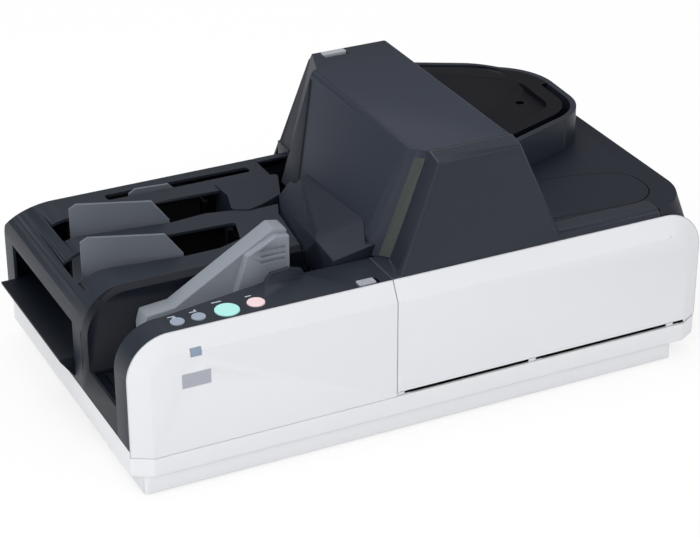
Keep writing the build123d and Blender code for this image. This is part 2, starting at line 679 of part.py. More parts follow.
with BuildPart() as pocket_cover:
    extrude(pocket_section(along(-half_length), 0, base_top), amount=panel_right + half_length)
    extrude(shoulder(across(half_depth), (-half_length, half_length), (base_top, cover_top), end_radius),
            amount=body_depth, mode=Mode.INTERSECT)
    add(pocket_hollow.part, mode=Mode.SUBTRACT)
    # the front side is open against the divider, down to the seat of the top skin
    block(everything, (-50, divider_back + fit_gap), (base_top - 1, 92.0), Mode.SUBTRACT)
    block((wall - half_length, wide), (-50, divider_back + fit_gap), (base_top - 1, cover_top - end_radius),
          Mode.SUBTRACT)
    block(everything, (hopper_back, hopper_back + ledge_run + seam_gap), everything, Mode.SUBTRACT)
    under_top = shoulder(across(divider_back + fit_gap), (wall - half_length, wide),
                         (base_top - 2, cover_top - wall), end_radius - wall)
    extrude(under_top, amount=40, mode=Mode.SUBTRACT)
    # pocket slots, end recess, gap for the rear cover
    for outline in slot_points:
        prism(level(cover_top - 40), outline, 60, Mode.SUBTRACT, rounding=3.0)
    prism(level(cover_top - 40), wedge_hole, 60, Mode.SUBTRACT)
    block((-half_length - 1, 1 + wall - half_length), recess_y,
          (recess_z[0] - lip_thickness - 2 * fit_gap, recess_z[1]), Mode.SUBTRACT)
    extrude(housing_area(level(base_top), fit_gap), amount=100, mode=Mode.SUBTRACT)
    prism(level(0), ramp_room, wide, Mode.SUBTRACT)
    block((rear_cover_left - seam_gap, wide), everything, everything, Mode.SUBTRACT)
pocket_cover.part.label = "pocket_cover"
export_step(pocket_cover.part, "parts/pocket_cover.step")

with BuildPart() as sorter_lip:
    # floor of the end recess; its outer edge stands out and slopes back under
    lip_z = recess_z[0] - fit_gap
    lip_end, body_end = -half_length - lip_reach, -half_length - 0.2
    prism(across(recess_y[1] - fit_gap),
          [(lip_end, lip_z), (lip_end, lip_z - 2.5), (body_end, base_top + 3),
           (body_end, lip_z - lip_thickness), (tub_left - fit_gap, lip_z - lip_thickness),
           (tub_left - fit_gap, lip_z)],
          recess_y[1] - recess_y[0] - 2 * fit_gap)
    block((wall - half_length + 0.2, wall + 2.2 - half_length), (recess_y[0] + 2, recess_y[1] - 2),
          (base_top + 8, lip_z - 1))
sorter_lip.part.label = "sorter_lip"
export_step(sorter_lip.part, "parts/sorter_lip.step")

with BuildPart() as pocket_tub:
    # floor and upright dividers of the three pockets
    tub_front, tub_back = divider_back + 0.5, rear - 29.0
    block((tub_left, hopper_right), (tub_front, tub_back), (pocket_floor - 2, pocket_floor))
    walls = [(slots[0][1] + 0.5, cover_top - wall), (slots[1][0] - 2.5, cover_top - wall),
             (slots[1][1] + 0.5, cover_top - wall), (slots[2][0] - 2.5, cover_top - wall),
             (slots[2][1] + 0.5, cover_top - wall)]
    for y, top in walls:
        block((slot_left + 34, walls_right), (y, y + 2), (pocket_floor, top - fit_gap))
    # bearings of the plate pivots
    for x, y, reach, height, cut, rest in pocket_plates:
        rod(level(pocket_floor), (x, y), plate_hub, 3)
        rod(level(pocket_floor - 2), (x, y), pivot_radius, 5, Mode.SUBTRACT)
    for x, y, way in gates.values():
        rod(level(pocket_floor - 2), (x, y), 1.5 + running_gap, 2, Mode.SUBTRACT)
pocket_tub.part.label = "pocket_tub"
export_step(pocket_tub.part, "parts/pocket_tub.step")

with BuildPart() as plate_pivots:
    for x, y, reach, height, cut, rest in pocket_plates:
        rod(level(pocket_floor - 2), (x, y), pivot_radius, height - hub_drop + 3 - pocket_floor)
plate_pivots.part.label = "plate_pivots"
export_step(plate_pivots.part, "parts/plate_pivots.step")

for number, (x, y, reach, height, cut, rest) in enumerate(pocket_plates, 1):
    with BuildPart() as pressure_plate:
        # upright plate in the hinge's own plane, then swung to its resting angle
        low = pocket_floor + 3 + fit_gap
        turn = radians(rest)
        swing = Plane(origin=(mid_x + x, y, 0), x_dir=(-cos(turn), sin(turn), 0),
                      z_dir=(sin(turn), cos(turn), 0))
        outline = [(0, low), (0, height - cut[1]), (cut[0], height), (reach - 6, height),
                   (reach, height - 4), (reach, low)]
        prism(swing, outline, plate_thickness / 2)
        prism(swing, outline, -plate_thickness / 2)
        rod(level(low), (x, y), plate_hub, height - hub_drop - low)
        rod(level(low), (x, y), pivot_radius + running_gap, height - low, Mode.SUBTRACT)
    pressure_plate.part.label = f"pressure_plate_{number}"
    export_step(pressure_plate.part, f"parts/pressure_plate_{number}.step")

with BuildPart() as diverter_housing:
    # lens-shaped guide between the pockets and the hood, over the two gates
    extrude(housing_area(level(pocket_floor), 0), amount=cover_top + 1 - pocket_floor)
    block((-77, -52), (44, 74), (pocket_floor - 1, cover_top - 4), Mode.SUBTRACT, rounding=3.0)
diverter_housing.part.label = "diverter_housing"
export_step(diverter_housing.part, "parts/diverter_housing.step")

for name, (x, y, way) in gates.items():
    with BuildPart() as diverter_gate:
        # upright vane that steers a cheque into a pocket
        rod(level(pocket_floor - 2), (x, y), 1.5, 4)
        rod(level(pocket_floor + fit_gap), (x, y), 2.5, gate_top - pocket_floor)
        block((x - 0.8, x + 0.8), tuple(sorted((y, y + way * gate_reach))),
              (pocket_floor + fit_gap + 2, gate_top))
    diverter_gate.part.label = name
    export_step(diverter_gate.part, f"parts/{name}.step")


# ================= hood =================
def hood_section(plane, inset):
    """Trapezoid of the hood seen from the front."""
    lean_left = (hood_crown[0] - hood_foot[0]) / (hood_top - hood_bottom)
    lean_right = (hood_foot[1] - hood_crown[1]) / (hood_top - hood_bottom)
    low, high = hood_bottom - (1 if inset else 0), hood_top - inset
    left = [hood_foot[0] + (z - hood_bottom) * lean_left + inset * 1.1 for z in (low, high)]
    right = [hood_foot[1] - (z - hood_bottom) * lean_right - inset * 1.1 for z in (low, high)]
    with BuildSketch(plane) as face:
        with BuildLine():
            Polyline((left[0], low), (left[1], high), (right[1], high), (right[0], low), close=True)
        make_face()
        fillet(face.vertices().group_by(Axis.Y)[-1], hood_round - inset)
    return face.sketch


split_slope = (split_high[0] - split_low[0]) / (split_high[1] - split_low[1])


def split_y(z):
    """Where the seam of the rear cover crosses a height."""
    return split_low[0] + (z - split_low[1]) * split_slope


def corner_cut(grow):
    """What the chamfer at the front left corner takes off the hood, grown sideways."""
    faces = []
    for z, corner in ((corner_low, corner_foot), (corner_high, corner_crown)):
        left, low = corner[0][0] - 60, hood_front - 60
        with BuildSketch(level(z)) as face:
            with BuildLine():
                Polyline((left, corner[0][1]), *corner, (corner[-1][0], low), (left, low), close=True)
            make_face()
            if grow:
                offset(amount=grow, kind=Kind.INTERSECTION)
        faces.append(face.sketch)
    with BuildPart() as body:
        loft(sections=faces, ruled=True)
    return body.part


with BuildPart() as hood_hollow:
    extrude(hood_section(across(split_high[0] + 5), wall), amount=split_high[0] + 5 - hood_front - wall)
    add(corner_cut(wall), mode=Mode.SUBTRACT)

with BuildPart() as hood_shell:
    extrude(hood_section(across(split_high[0] + 4), 0), amount=split_high[0] + 4 - hood_front)
    add(corner_cut(0), mode=Mode.SUBTRACT)
    add(hood_hollow.part, mode=Mode.SUBTRACT)
    # cut back to the leaning seam of the rear cover
    prism(along(-wide), [(split_y(hood_bottom - 2), hood_bottom - 2), (split_y(hood_top + 2), hood_top + 2),
                         (wide, hood_top + 2), (wide, hood_bottom - 2)], 2 * wide, Mode.SUBTRACT)
    # front frame: a lip stands round the mouth that the cap closes
    prism(across(hood_front + wall + 1), [(-10, hood_bottom - 1), (24, hood_top - 14), (72, hood_top - 14),
                                          (104, hood_bottom - 1)], wall + 2, Mode.SUBTRACT)
hood_shell.part.label = "hood_shell"
export_step(hood_shell.part, "parts/hood_shell.step")


def trim_above(corners):
    """Cuts the current piece above the plane through three points."""
    a, b, c = (Vector(mid_x + x, y, z) for x, y, z in corners)
    normal = (b - a).cross(c - a)
    if normal.Z < 0:
        normal = normal * -1
    with BuildSketch(Plane(origin=a, x_dir=b - a, z_dir=normal)) as face:
        Rectangle(wide, wide)
    extrude(face.sketch, amount=wide, mode=Mode.SUBTRACT)


lean_left = (hood_crown[0] - hood_foot[0]) / (hood_top - hood_bottom)
ramp_right = hood_foot[0] - fit_gap
ramp_section = [(-70, ramp_bottom), (-70, 170), (ramp_right + (170 - hood_bottom) * lean_left, 170),
                (ramp_right, hood_bottom), (ramp_right, ramp_bottom)]

with BuildPart() as ramp_ledge:
    # lower step at the front end of the ramp
    prism(across(-50), ramp_section, 42)
    trim_above(ramp_step)
    trim_above(ramp_left)

with BuildPart() as ramp_toe:
    # the step runs on along the foot of the hood's chamfered corner
    add(corner_cut(-fit_gap))
    block((-45, corner_foot[-1][0]), (-92, corner_foot[0][1] + 5), (corner_low - 1, hood_top),
          Mode.INTERSECT)
    trim_above(ramp_step)

with BuildPart() as hood_ramp:
    # sloping block at the foot of the hood, over the separation roller
    prism(across(41), ramp_section, 133)
    for corners in (ramp_top, ramp_back, ramp_left, ramp_front):
        trim_above(corners)
    add(ramp_ledge.part)
    add(ramp_toe.part)
    with BuildSketch(level(ramp_bottom)) as plan:
        with BuildLine():
            Polyline((-60.2, -92), (-61, -62), (-66, -52.5), (-57, 14), (-46, 41), (hood_foot[0] - 1, 41),
                     (hood_foot[0] - 1, lift_clear_y), (-5, lift_clear_y), (-5, -92), close=True)
        make_face()
    extrude(plan.sketch, amount=80, mode=Mode.INTERSECT)
    # hollow underneath, and the wall that closes the trench
    block((-54, -39), (-86, 8), (ramp_bottom - 1, 124), Mode.SUBTRACT)
    block(ramp_end, (-88, -54), (hopper_floor + 6, 125))
hood_ramp.part.label = "hood_ramp"
export_step(hood_ramp.part, "parts/hood_ramp.step")


def cap_body(inset):
    """Hood front: leans back from the white edge to the crown."""
    low, high = hood_bottom - (1 if inset else 0), hood_top - (inset + cap_drop if inset else 0)
    back = hood_front - seam_gap + (1 if inset else 0)
    side = inset * 1.1
    corners = []
    for z, left_back, left_front, right, face_y in (
            (low, -18.0, cap_left_low, hood_foot[1] - 0.3, cap_front_low),
            (high, 16.0, cap_left_high, hood_crown[1], cap_front_high)):
        with BuildSketch(level(z)) as face:
            with BuildLine():
                Polyline((left_back + side, back), (left_front + side, face_y + inset),
                         (right - side - 1, face_y + inset), (right - side, back), close=True)
            make_face()
        corners.append(face.sketch)
    return corners


with BuildPart() as front_cap:
    loft(sections=cap_body(0), ruled=True)
    fillet(front_cap.edges().filter_by(Axis.Z, reverse=True).filter_by(
        lambda e: abs(e.bounding_box().size.Z) > 50 and e.center().Y < hood_front - 10), 4.0)
    loft(sections=cap_body(wall), ruled=True, mode=Mode.SUBTRACT)
    prism(along(-wide), [(hood_front, hood_top + 0.01), (cap_front_high - 1, hood_top - cap_drop),
                         (cap_front_high - 1, hood_top + 9), (hood_front, hood_top + 9)],
          2 * wide, Mode.SUBTRACT)
    # strip of deck that rolls down to the white edge, right of the cap
    edge = bevel_depth - half_depth + fit_gap
    prism(along(hood_foot[1] - 6),
          [(edge, shell_top - 4), (edge, shell_top), (edge + 1.5, shell_top + 4), (edge + 5.5, deck_top),
           (deck_front - seam_gap, deck_top), (deck_front - seam_gap, deck_top - wall),
           (edge + 6, deck_top - wall), (edge + wall, shell_top)], strip_right - hood_foot[1] + 6)
    # and the end of the control strip, left of the cap
    skirt = [(edge, panel_top - 4), (edge, panel_top), (hood_front - 2 * fit_gap, panel_top),
             (hood_front - 2 * fit_gap, panel_top - wall), (edge + wall, panel_top - wall),
             (edge + wall, panel_top - 4)]
    prism(along(seam_x + seam_gap / 2), skirt, 40)
    start = seam_x + seam_gap / 2
    prism(level(panel_top - wall), [(start, hood_front - 4), (start, slit_back), (-25.0, slit_back),
                                    (-19.0, hood_front + 1), (-19.0, hood_front - 4)], wall)
front_cap.part.label = "front_cap"
export_step(front_cap.part, "parts/front_cap.step")


def rear_hood(inset):
    """Rear end of the hood: the same trapezoid with its left rear corner cut off."""
    top, low = hood_top + 1, hood_bottom - 2
    with BuildPart() as body:
        extrude(hood_section(across(rear - 5), inset), amount=110)
        prism(along(-wide), [(0, low), (split_y(low) + seam_gap - inset * 2, low),
                             (split_y(top) + seam_gap - inset * 2, top), (0, top)], 2 * wide, Mode.SUBTRACT)
        prism(along(-wide), [(rear - 11 - inset, low), (rear - 31 - inset, top), (wide, top), (wide, low)],
              2 * wide, Mode.SUBTRACT)
        (near_y, near_z), (far_y, far_z) = rear_chamfer
        prism(along(-wide), [(near_y - inset, near_z - inset), (far_y - inset, far_z - inset),
                             (far_y + 20, far_z), (far_y + 20, top + 9), (near_y - inset, top + 9)],
              2 * wide, Mode.SUBTRACT)
        corner = []
        for z, ((near_x, near_y), (far_x, far_y)) in zip((low, top), rear_corner):
            with BuildSketch(level(z)) as face:
                with BuildLine():
                    Polyline((near_x + inset, near_y - inset), (far_x + inset, far_y),
                             (far_x + inset, rear + 15), (-wide, rear + 15), (-wide, near_y - inset), close=True)
                make_face()
            corner.append(face.sketch)
        loft(sections=corner, ruled=True, mode=Mode.SUBTRACT)
    return body.part


hood_outside = rear_hood(0)
hood_inside = rear_hood(wall)

with BuildPart() as rear_cover:
    add(hood_outside)
    add(hood_inside, mode=Mode.SUBTRACT)
    # wall below the hood, with the same rear bevel as the pocket cover
    right = half_length - plinth_setback - 6
    low = rear_hinge_z
    prism(along(rear_cover_left),
          [(rear - 12, hood_bottom), (rear - 11, hood_bottom), (rear, hood_bottom - 18), (rear, low),
           (rear - wall, low), (rear - wall, hood_bottom - 19), (rear - 12, hood_bottom - wall),
           (rear - 13.1, hood_bottom - wall), (rear - 13.1, hood_bottom)], right - rear_cover_left)
    block((rear_cover_left, hood_foot[1] - 1), (rear - 19, rear - 11),
          (hood_bottom - wall, hood_bottom + 1))
    block(inlet_x, (rear - 15, rear + 15), inlet_z, Mode.SUBTRACT)
    for x in rear_hinges:
        block((x - barrel_length - seam_gap / 2, x + seam_gap / 2), (half_depth - 4, half_depth + 1),
              (low - 3, rear_hinge_z + barrel_radius + 0.4), Mode.SUBTRACT)
        start = along(x + seam_gap / 2)
        centre = (half_depth - hinge_setback, rear_hinge_z)
        prism(start, [(rear - 0.1, low), (rear - 0.1, low + 4), (rear - 2.7, low + 4), (rear - 3.1, low)],
              barrel_length)
        rod(start, centre, barrel_radius, barrel_length)
        rod(start, centre, pin_radius + running_gap, barrel_length, Mode.SUBTRACT)
    block(hood_latch_x, hood_latch_y, (hood_top - wall - 1, hood_top + 1), Mode.SUBTRACT)
rear_cover.part.label = "rear_cover"
export_step(rear_cover.part, "parts/rear_cover.step")

with BuildPart() as hood_latch:
    block((hood_latch_x[0] + 0.4, hood_latch_x[1] - 0.4), (hood_latch_y[0] + 3.4, hood_latch_y[1] - 0.4),
          (hood_top - wall, hood_top + 0.8), rounding=1.0)
    block((hood_latch_x[0] + 2, hood_latch_x[1] - 2), (hood_latch_y[0] + 5, hood_latch_y[1] - 2),
          (hood_top - 9, hood_top - wall))
hood_latch.part.label = "hood_latch"
export_step(hood_latch.part, "parts/hood_latch.step")


# ================= right deck, lid and loop =================
def loop_area(plane, inset):
    """Area inside the loop, whose outer face runs along loop_path."""
    with BuildSketch(plane) as face:
        with BuildLine():
            FilletPolyline(*loop_path, radius=list(loop_radii))
            Line(loop_path[-1], loop_path[0])
        make_face()
        if inset:
            offset(amount=-inset, kind=Kind.INTERSECTION)
    return face.sketch


def clear_of_hood():
    """Cuts the current piece back to the right face of the hood.

    Behind the seam the cut is upright, so that the rear cover can lift past it.
    """
    block((-wide, hood_foot[1] + fit_gap), (lift_clear_y, wide), everything, Mode.SUBTRACT)
    prism(across(wide), [(hood_foot[1] + fit_gap, 0), (hood_foot[1] + fit_gap, hood_bottom),
                         (hood_crown[1] + fit_gap, hood_top), (-wide, hood_top), (-wide, 0)], 2 * wide,
          Mode.SUBTRACT)


def deck_body(inset):
    """Deck and its leaning end wall; the front right corner rounds off towards the top."""
    lean = (half_length - 1 - deck_right) / (deck_top - base_top)
    near, back = bevel_depth - half_depth + fit_gap + inset, half_depth - 14 + (1 if inset else 0)
    left = hood_foot[1] + fit_gap - (1.3 if inset else 0)
    layers = []
    for z, radius in zip((base_top - (1 if inset else 0), deck_shoulder, deck_top - inset), deck_radii):
        right = half_length - 1 - (z - base_top) * lean - inset
        with BuildSketch(level(z)) as face:
            with Locations(((left + right) / 2, (near + back) / 2)):
                Rectangle(right - left, back - near)
            fillet(face.vertices().group_by(Axis.Y)[0].sort_by(Axis.X)[-1], radius - inset)
        layers.append(face.sketch)
    with BuildPart() as body:
        loft(sections=layers, ruled=True)
    return body.part


with BuildPart() as right_deck:
    # top plate and walls, open underneath
    add(deck_body(0))
    add(deck_body(wall), mode=Mode.SUBTRACT)
    # front left to the opening cover, except the corner beyond its strip
    block((0, strip_right + seam_gap), (-wide, deck_front), (deck_top - 20, wide), Mode.SUBTRACT)
    # lid recess with a ledge round it
    with BuildSketch(level(deck_top - 40)) as recess:
        with BuildLine():
            Polyline(*lid_points, close=True)
        make_face()
        fillet(recess.vertices().sort_by(Axis.X)[-2:], lid_tip_radius)
    extrude(recess.sketch, amount=60, mode=Mode.SUBTRACT)
    # room for the loop
    extrude(loop_area(level(deck_top - 60), 0), amount=120, mode=Mode.SUBTRACT)
right_deck.part.label = "right_deck"
export_step(right_deck.part, "parts/right_deck.step")

with BuildPart() as lid_seat:
    # pocket under the lid that holds the ink cartridge
    with BuildSketch(level(deck_top - lid_depth)) as pan:
        with BuildLine():
            Polyline(*lid_points, close=True)
        make_face()
        fillet(pan.vertices().sort_by(Axis.X)[-2:], lid_tip_radius)
        offset(amount=-fit_gap, kind=Kind.INTERSECTION)
    extrude(pan.sketch, amount=lid_depth - lid_thickness - fit_gap)
    block((lid_pan[0], lid_pan[1]), (lid_pan[2], lid_pan[3]), (deck_top - lid_depth + wall, deck_top + 1),
          Mode.SUBTRACT, rounding=4.0)
    # knuckles that hold the lid's hinge pin
    for y in lid_knuckles:
        rod(across(y + barrel_length / 2), lid_axis, lid_thickness / 2, barrel_length)
        block((lid_axis[0] - lid_thickness / 2, lid_axis[0] + lid_thickness / 2),
              (y - barrel_length / 2, y + barrel_length / 2), (deck_top - lid_thickness - 1, lid_axis[1]))
        rod(across(y + barrel_length / 2), lid_axis, lid_pin_radius, barrel_length, Mode.SUBTRACT)
lid_seat.part.label = "lid_seat"
export_step(lid_seat.part, "parts/lid_seat.step")

with BuildPart() as access_lid:
    with BuildSketch(level(deck_top - lid_thickness)) as plan:
        with BuildLine():
            Polyline(*lid_points, close=True)
        make_face()
        fillet(plan.vertices().sort_by(Axis.X)[-2:], lid_tip_radius)
        offset(amount=-seam_gap, kind=Kind.INTERSECTION)
    extrude(plan.sketch, amount=lid_thickness)
    # rounded hinge edge with notches for the knuckles
    hinge_edge = access_lid.edges().filter_by(Axis.Y).sort_by(Axis.X)[:2]
    fillet(hinge_edge, lid_thickness / 2 - 0.05)
    for y in lid_knuckles:
        block((lid_axis[0] - 3, lid_axis[0] + lid_thickness / 2 + seam_gap),
              (y - barrel_length / 2 - fit_gap, y + barrel_length / 2 + fit_gap),
              (deck_top - 9, deck_top + 1), Mode.SUBTRACT)
    rod(across(0), lid_axis, lid_pin_radius + running_gap, 200, Mode.SUBTRACT)
access_lid.part.label = "access_lid"
export_step(access_lid.part, "parts/access_lid.step")

with BuildPart() as ink_cartridge:
    block((lid_pan[0] + 1, lid_pan[1] - 1), (lid_pan[2] + 1, lid_pan[3] - 1),
          (deck_top - lid_depth + wall, deck_top - lid_thickness - 3), rounding=3.0)
ink_cartridge.part.label = "ink_cartridge"
export_step(ink_cartridge.part, "parts/ink_cartridge.step")


def climb_cut():
    """Cuts the current piece down to the rim that climbs along the back towards the hood."""
    prism(across(wide), [(climb_right, loop_rim), (wide, loop_rim), (wide, wide),
                         (hood_crown[1] - 30, wide), (hood_crown[1], loop_rim + loop_rise + 3)],
          2 * wide, Mode.SUBTRACT)


with BuildPart() as loop_guide:
    # outer wall of the turn; the rim climbs along the back towards the hood
    bottom = path_bottom + 4
    extrude(loop_area(level(bottom), 0), amount=loop_rim + loop_rise - bottom)
    extrude(loop_area(level(bottom - 1), loop_wall), amount=loop_rim + loop_rise - bottom + 2,
            mode=Mode.SUBTRACT)
    block(everything, (-wide, 90), (loop_rim, wide), Mode.SUBTRACT)
    climb_cut()
    clear_of_hood()
    # straight wall of the return run, roller window and the lugs of its pinch roller
    return_y = loop_path[0][1] - loop_wall
    block(return_run, (return_y, return_y + wall), (bottom, return_top))
    window = (roller_low - 3, roller_low + roller_height + 3)
    block((loop_pinch[0] - 12, loop_pinch[0] + 12), (loop_roller_y - 11, loop_roller_y + 11), window,
          Mode.SUBTRACT)
    for z in (window[0] - 5, window[1]):
        block((loop_pinch[0] - 3, loop_pinch[0] + 4), (loop_roller_y - 4, loop_roller_y + 4), (z, z + 5))
        rod(level(z), loop_pinch, pinch_shaft + running_gap, 5, Mode.SUBTRACT)
loop_guide.part.label = "loop_guide"
export_step(loop_guide.part, "parts/loop_guide.step")

with BuildPart() as island_back:
    # behind the dish the top slopes up to the climbing rim
    extrude(loop_area(level(island_floor - wall), loop_wall + loop_slot), amount=wide)
    prism(level(0), [*dish_back, (dish_back[1][0], -wide), (dish_back[0][0], -wide)], wide, Mode.SUBTRACT)
    trim_above(dish_slope)
    climb_cut()

with BuildPart() as bridge:
    # cover over the slot in the rear corner
    extrude(loop_area(level(loop_rim - bridge_thickness), loop_wall + fit_gap), amount=bridge_thickness)
    extrude(loop_area(level(loop_rim - bridge_thickness), loop_wall + loop_slot + 1),
            amount=bridge_thickness, mode=Mode.SUBTRACT)
    prism(level(0), bridge_area, wide, Mode.INTERSECT)

with BuildPart() as loop_island:
    inset = loop_wall + loop_slot
    extrude(loop_area(level(path_bottom + 4), inset), amount=loop_rim - path_bottom - 4)
    # dished top, and a hole for the guide screw
    loft(sections=[loop_area(level(loop_rim), inset + island_rim),
                   loop_area(level(island_floor), inset + island_rim + 2)], ruled=True, mode=Mode.SUBTRACT)
    rod(level(island_floor - 12), island_hole, 4.0, 40, Mode.SUBTRACT)
    extrude(loop_area(level(path_bottom + 3), inset + wall), amount=island_floor - wall - path_bottom - 3,
            mode=Mode.SUBTRACT)
    add(island_back.part)
    add(bridge.part)
    clear_of_hood()
    return_y = loop_path[0][1] - inset
    block(return_run, (return_y - wall, return_y), (path_bottom + 4, return_top))
    block((loop_drive[0], loop_drive[0] + 20), (loop_roller_y - 11, loop_roller_y + 11),
          (roller_low - 3, roller_low + roller_height + 3), Mode.SUBTRACT)
    for place in island_posts:
        rod(level(chassis_top), place, 5.0, island_floor - 1 - chassis_top)
loop_island.part.label = "loop_island"
export_step(loop_island.part, "parts/loop_island.step")


# ================= transport =================
def path_plane(distance, side, z):
    """Upright frame on the paper path: sketch X runs along the path."""
    x, y = path_point(distance, side)
    turn = radians(path_angle)
    return Plane(origin=(mid_x + x, y, z), x_dir=(cos(turn), sin(turn), 0), z_dir=(0, 0, 1))


def path_block(s, side, z, mode=Mode.ADD):
    """Box set along the paper path, from (low, high) distances, sides and heights."""
    with BuildSketch(path_plane((s[0] + s[1]) / 2, (side[0] + side[1]) / 2, z[0])) as face:
        Rectangle(s[1] - s[0], side[1] - side[0])
    extrude(face.sketch, amount=z[1] - z[0], mode=mode)


def pulley_shaft(place, low, high):
    """Shaft standing in the chassis, with a belt pulley."""
    rod(level(chassis_z), place, shaft_radius, high - chassis_z)
    rod(level(belt_z - pulley_height / 2), place, pulley_radius, pulley_height)
    rod(level(low), place, roller_radius, high - 6 - low)


with BuildPart() as path_frame:
    path_block((0, path_length), (-half - path_wall, half + path_wall), (path_bottom, path_bottom + 3))
    for side in ((half, half + path_wall), (-half - path_wall, -half)):
        path_block((0, path_length), side, (path_bottom, path_top))
    # the ramp covers the low entrance
    block((-wide, -6), everything, (ramp_bottom - 1, wide), Mode.SUBTRACT)
    near, back = path_start[1] - half, path_start[1] + half
    block((entry_x[0], entry_x[1] + 4), (near - path_wall, near), (path_bottom, entry_top))
    block(entry_x, (back, back + path_wall), (path_bottom, entry_top))
    block(entry_x, (near - path_wall, back + 15), (path_bottom, path_bottom + 3))
    block((entry_x[0] - 1, separation_x + 11), (back - 1, back + path_wall + 1), (pickup_z[0], wide),
          Mode.SUBTRACT)
    # openings for rollers, sensors and head
    for s in drive_stations:
        path_block((s - 12, s + 12), (-30, 30), (roller_low - 3, roller_low + roller_height + 3),
                   Mode.SUBTRACT)
    path_block((sensor_station - 9, sensor_station + 9), (-30, 30), (path_bottom + 3, wide), Mode.SUBTRACT)
    path_block((head_station - 8, head_station + 8), (-30, 30), (60, 78), Mode.SUBTRACT)
    # shelves that carry the shafts, sensors and head
    path_block((2, path_length - 6), (half + path_wall, half + 22), (path_bottom, path_bottom + 3))
    path_block((20, path_length - 6), (-half - 22, -half - path_wall), (path_bottom, path_bottom + 3))
    for s in drive_stations:
        rod(level(path_bottom - 1), path_point(s, drive_side), shaft_radius + running_gap, 5, Mode.SUBTRACT)
        rod(level(path_bottom), path_point(s, pinch_side), pinch_shaft + running_gap, 5, Mode.SUBTRACT)
    rod(level(path_bottom), separation_place, pinch_shaft + running_gap, 5, Mode.SUBTRACT)
path_frame.part.label = "path_frame"
export_step(path_frame.part, "parts/path_frame.step")

drive_places = {
    "drive_roller_front": path_point(drive_stations[0], drive_side),
    "drive_roller_turn": path_point(drive_stations[1], drive_side),
    "loop_roller": loop_drive,
}
for name, place in drive_places.items():
    with BuildPart() as drive_roller:
        pulley_shaft(place, roller_low, roller_low + roller_height + 6)
    drive_roller.part.label = name
    export_step(drive_roller.part, f"parts/{name}.step")

pinch_places = [(path_point(s, pinch_side), path_bottom) for s in drive_stations]
pinch_places.append((loop_pinch, roller_low - 8))
for number, (place, low) in enumerate(pinch_places, 1):
    with BuildPart() as pinch_roller:
        rod(level(low), place, pinch_shaft, roller_low + roller_height + 8 - low)
        rod(level(roller_low), place, pinch_radius, roller_height)
    pinch_roller.part.label = f"pinch_roller_{number}"
    export_step(pinch_roller.part, f"parts/pinch_roller_{number}.step")

with BuildPart() as feed_roller:
    # rubber roller that draws the first cheque off the stack, with its own shaft and pulley
    rod(level(chassis_z), feed_place, shaft_radius, pickup_z[1] + 4 - chassis_z)
    rod(level(belt_z - pulley_height / 2), feed_place, pulley_radius, pulley_height)
    rod(level(pickup_z[0] + 4), feed_place, feed_radius, pickup_z[1] - pickup_z[0] - 8)
feed_roller.part.label = "feed_roller"
export_step(feed_roller.part, "parts/feed_roller.step")

with BuildPart() as separation_roller:
    # holds back the second cheque
    rod(level(path_bottom), separation_place, pinch_shaft, pickup_z[1] - 3 - path_bottom)
    rod(level(pickup_z[0] + 4), separation_place, roller_radius, pickup_z[1] - pickup_z[0] - 10)
separation_roller.part.label = "separation_roller"
export_step(separation_roller.part, "parts/separation_roller.step")

image_sides = {
    "front_image_sensor": (-half - 16, -half - 0.2),
    "rear_image_sensor": (half + 0.2, half + 16),
}
for name, sides in image_sides.items():
    with BuildPart() as image_sensor:
        path_block((sensor_station - 8, sensor_station + 8), sides, (path_bottom + 3, path_top + 6))
        face_side = sides[1] if sides[1] < 0 else sides[0]
        path_block((sensor_station - 5, sensor_station + 5), (face_side - 1, face_side + 1),
                   (path_bottom + 12, path_top), Mode.SUBTRACT)
    image_sensor.part.label = name
    export_step(image_sensor.part, f"parts/{name}.step")

with BuildPart() as sensor_glass:
    for way in (-1, 1):
        near, far = way * (half + 0.25), way * (half + 1.15)
        path_block((sensor_station - 4.9, sensor_station + 4.9), (min(near, far), max(near, far)),
                   (path_bottom + 12.1, path_top - 0.1))
sensor_glass.part.label = "sensor_glass"
export_step(sensor_glass.part, "parts/sensor_glass.step")

with BuildPart() as magnetic_head:
    path_block((head_station - 7, head_station + 7), (half + 0.2, half + 16), (61, 77))
    path_block((head_station - 4, head_station + 4), (half + 8, half + 14), (path_bottom + 3, 61))
magnetic_head.part.label = "magnetic_head"
export_step(magnetic_head.part, "parts/magnetic_head.step")

with BuildPart() as transport_motor:
    # flat motor under its pulley
    rod(level(chassis_top), motor_place, motor_radius, motor_height)
    rod(level(chassis_top), motor_place, shaft_radius, belt_z + pulley_height / 2 - chassis_top)
transport_motor.part.label = "transport_motor"
export_step(transport_motor.part, "parts/transport_motor.step")

with BuildPart() as motor_pulley:
    rod(level(belt_z - pulley_height / 2), motor_place, pulley_radius, pulley_height)
    rod(level(belt_z - pulley_height / 2), motor_place, shaft_radius + running_gap, pulley_height,
        Mode.SUBTRACT)
motor_pulley.part.label = "motor_pulley"
export_step(motor_pulley.part, "parts/motor_pulley.step")


def belt_outline(plane, radius):
    """Tight loop round every pulley."""
    with BuildSketch(plane) as face:
        with BuildLine() as rounds:
            for place in belt_stops:
                CenterArc(place, radius, 0, 360)
        make_hull(rounds.edges())
    return face.sketch


with BuildPart() as drive_belt:
    belt_low = belt_z - belt_width / 2
    extrude(belt_outline(level(belt_low), pulley_radius + running_gap + belt_thickness), amount=belt_width)
    extrude(belt_outline(level(belt_low), pulley_radius + running_gap), amount=belt_width,
            mode=Mode.SUBTRACT)
drive_belt.part.label = "drive_belt"
export_step(drive_belt.part, "parts/drive_belt.step")

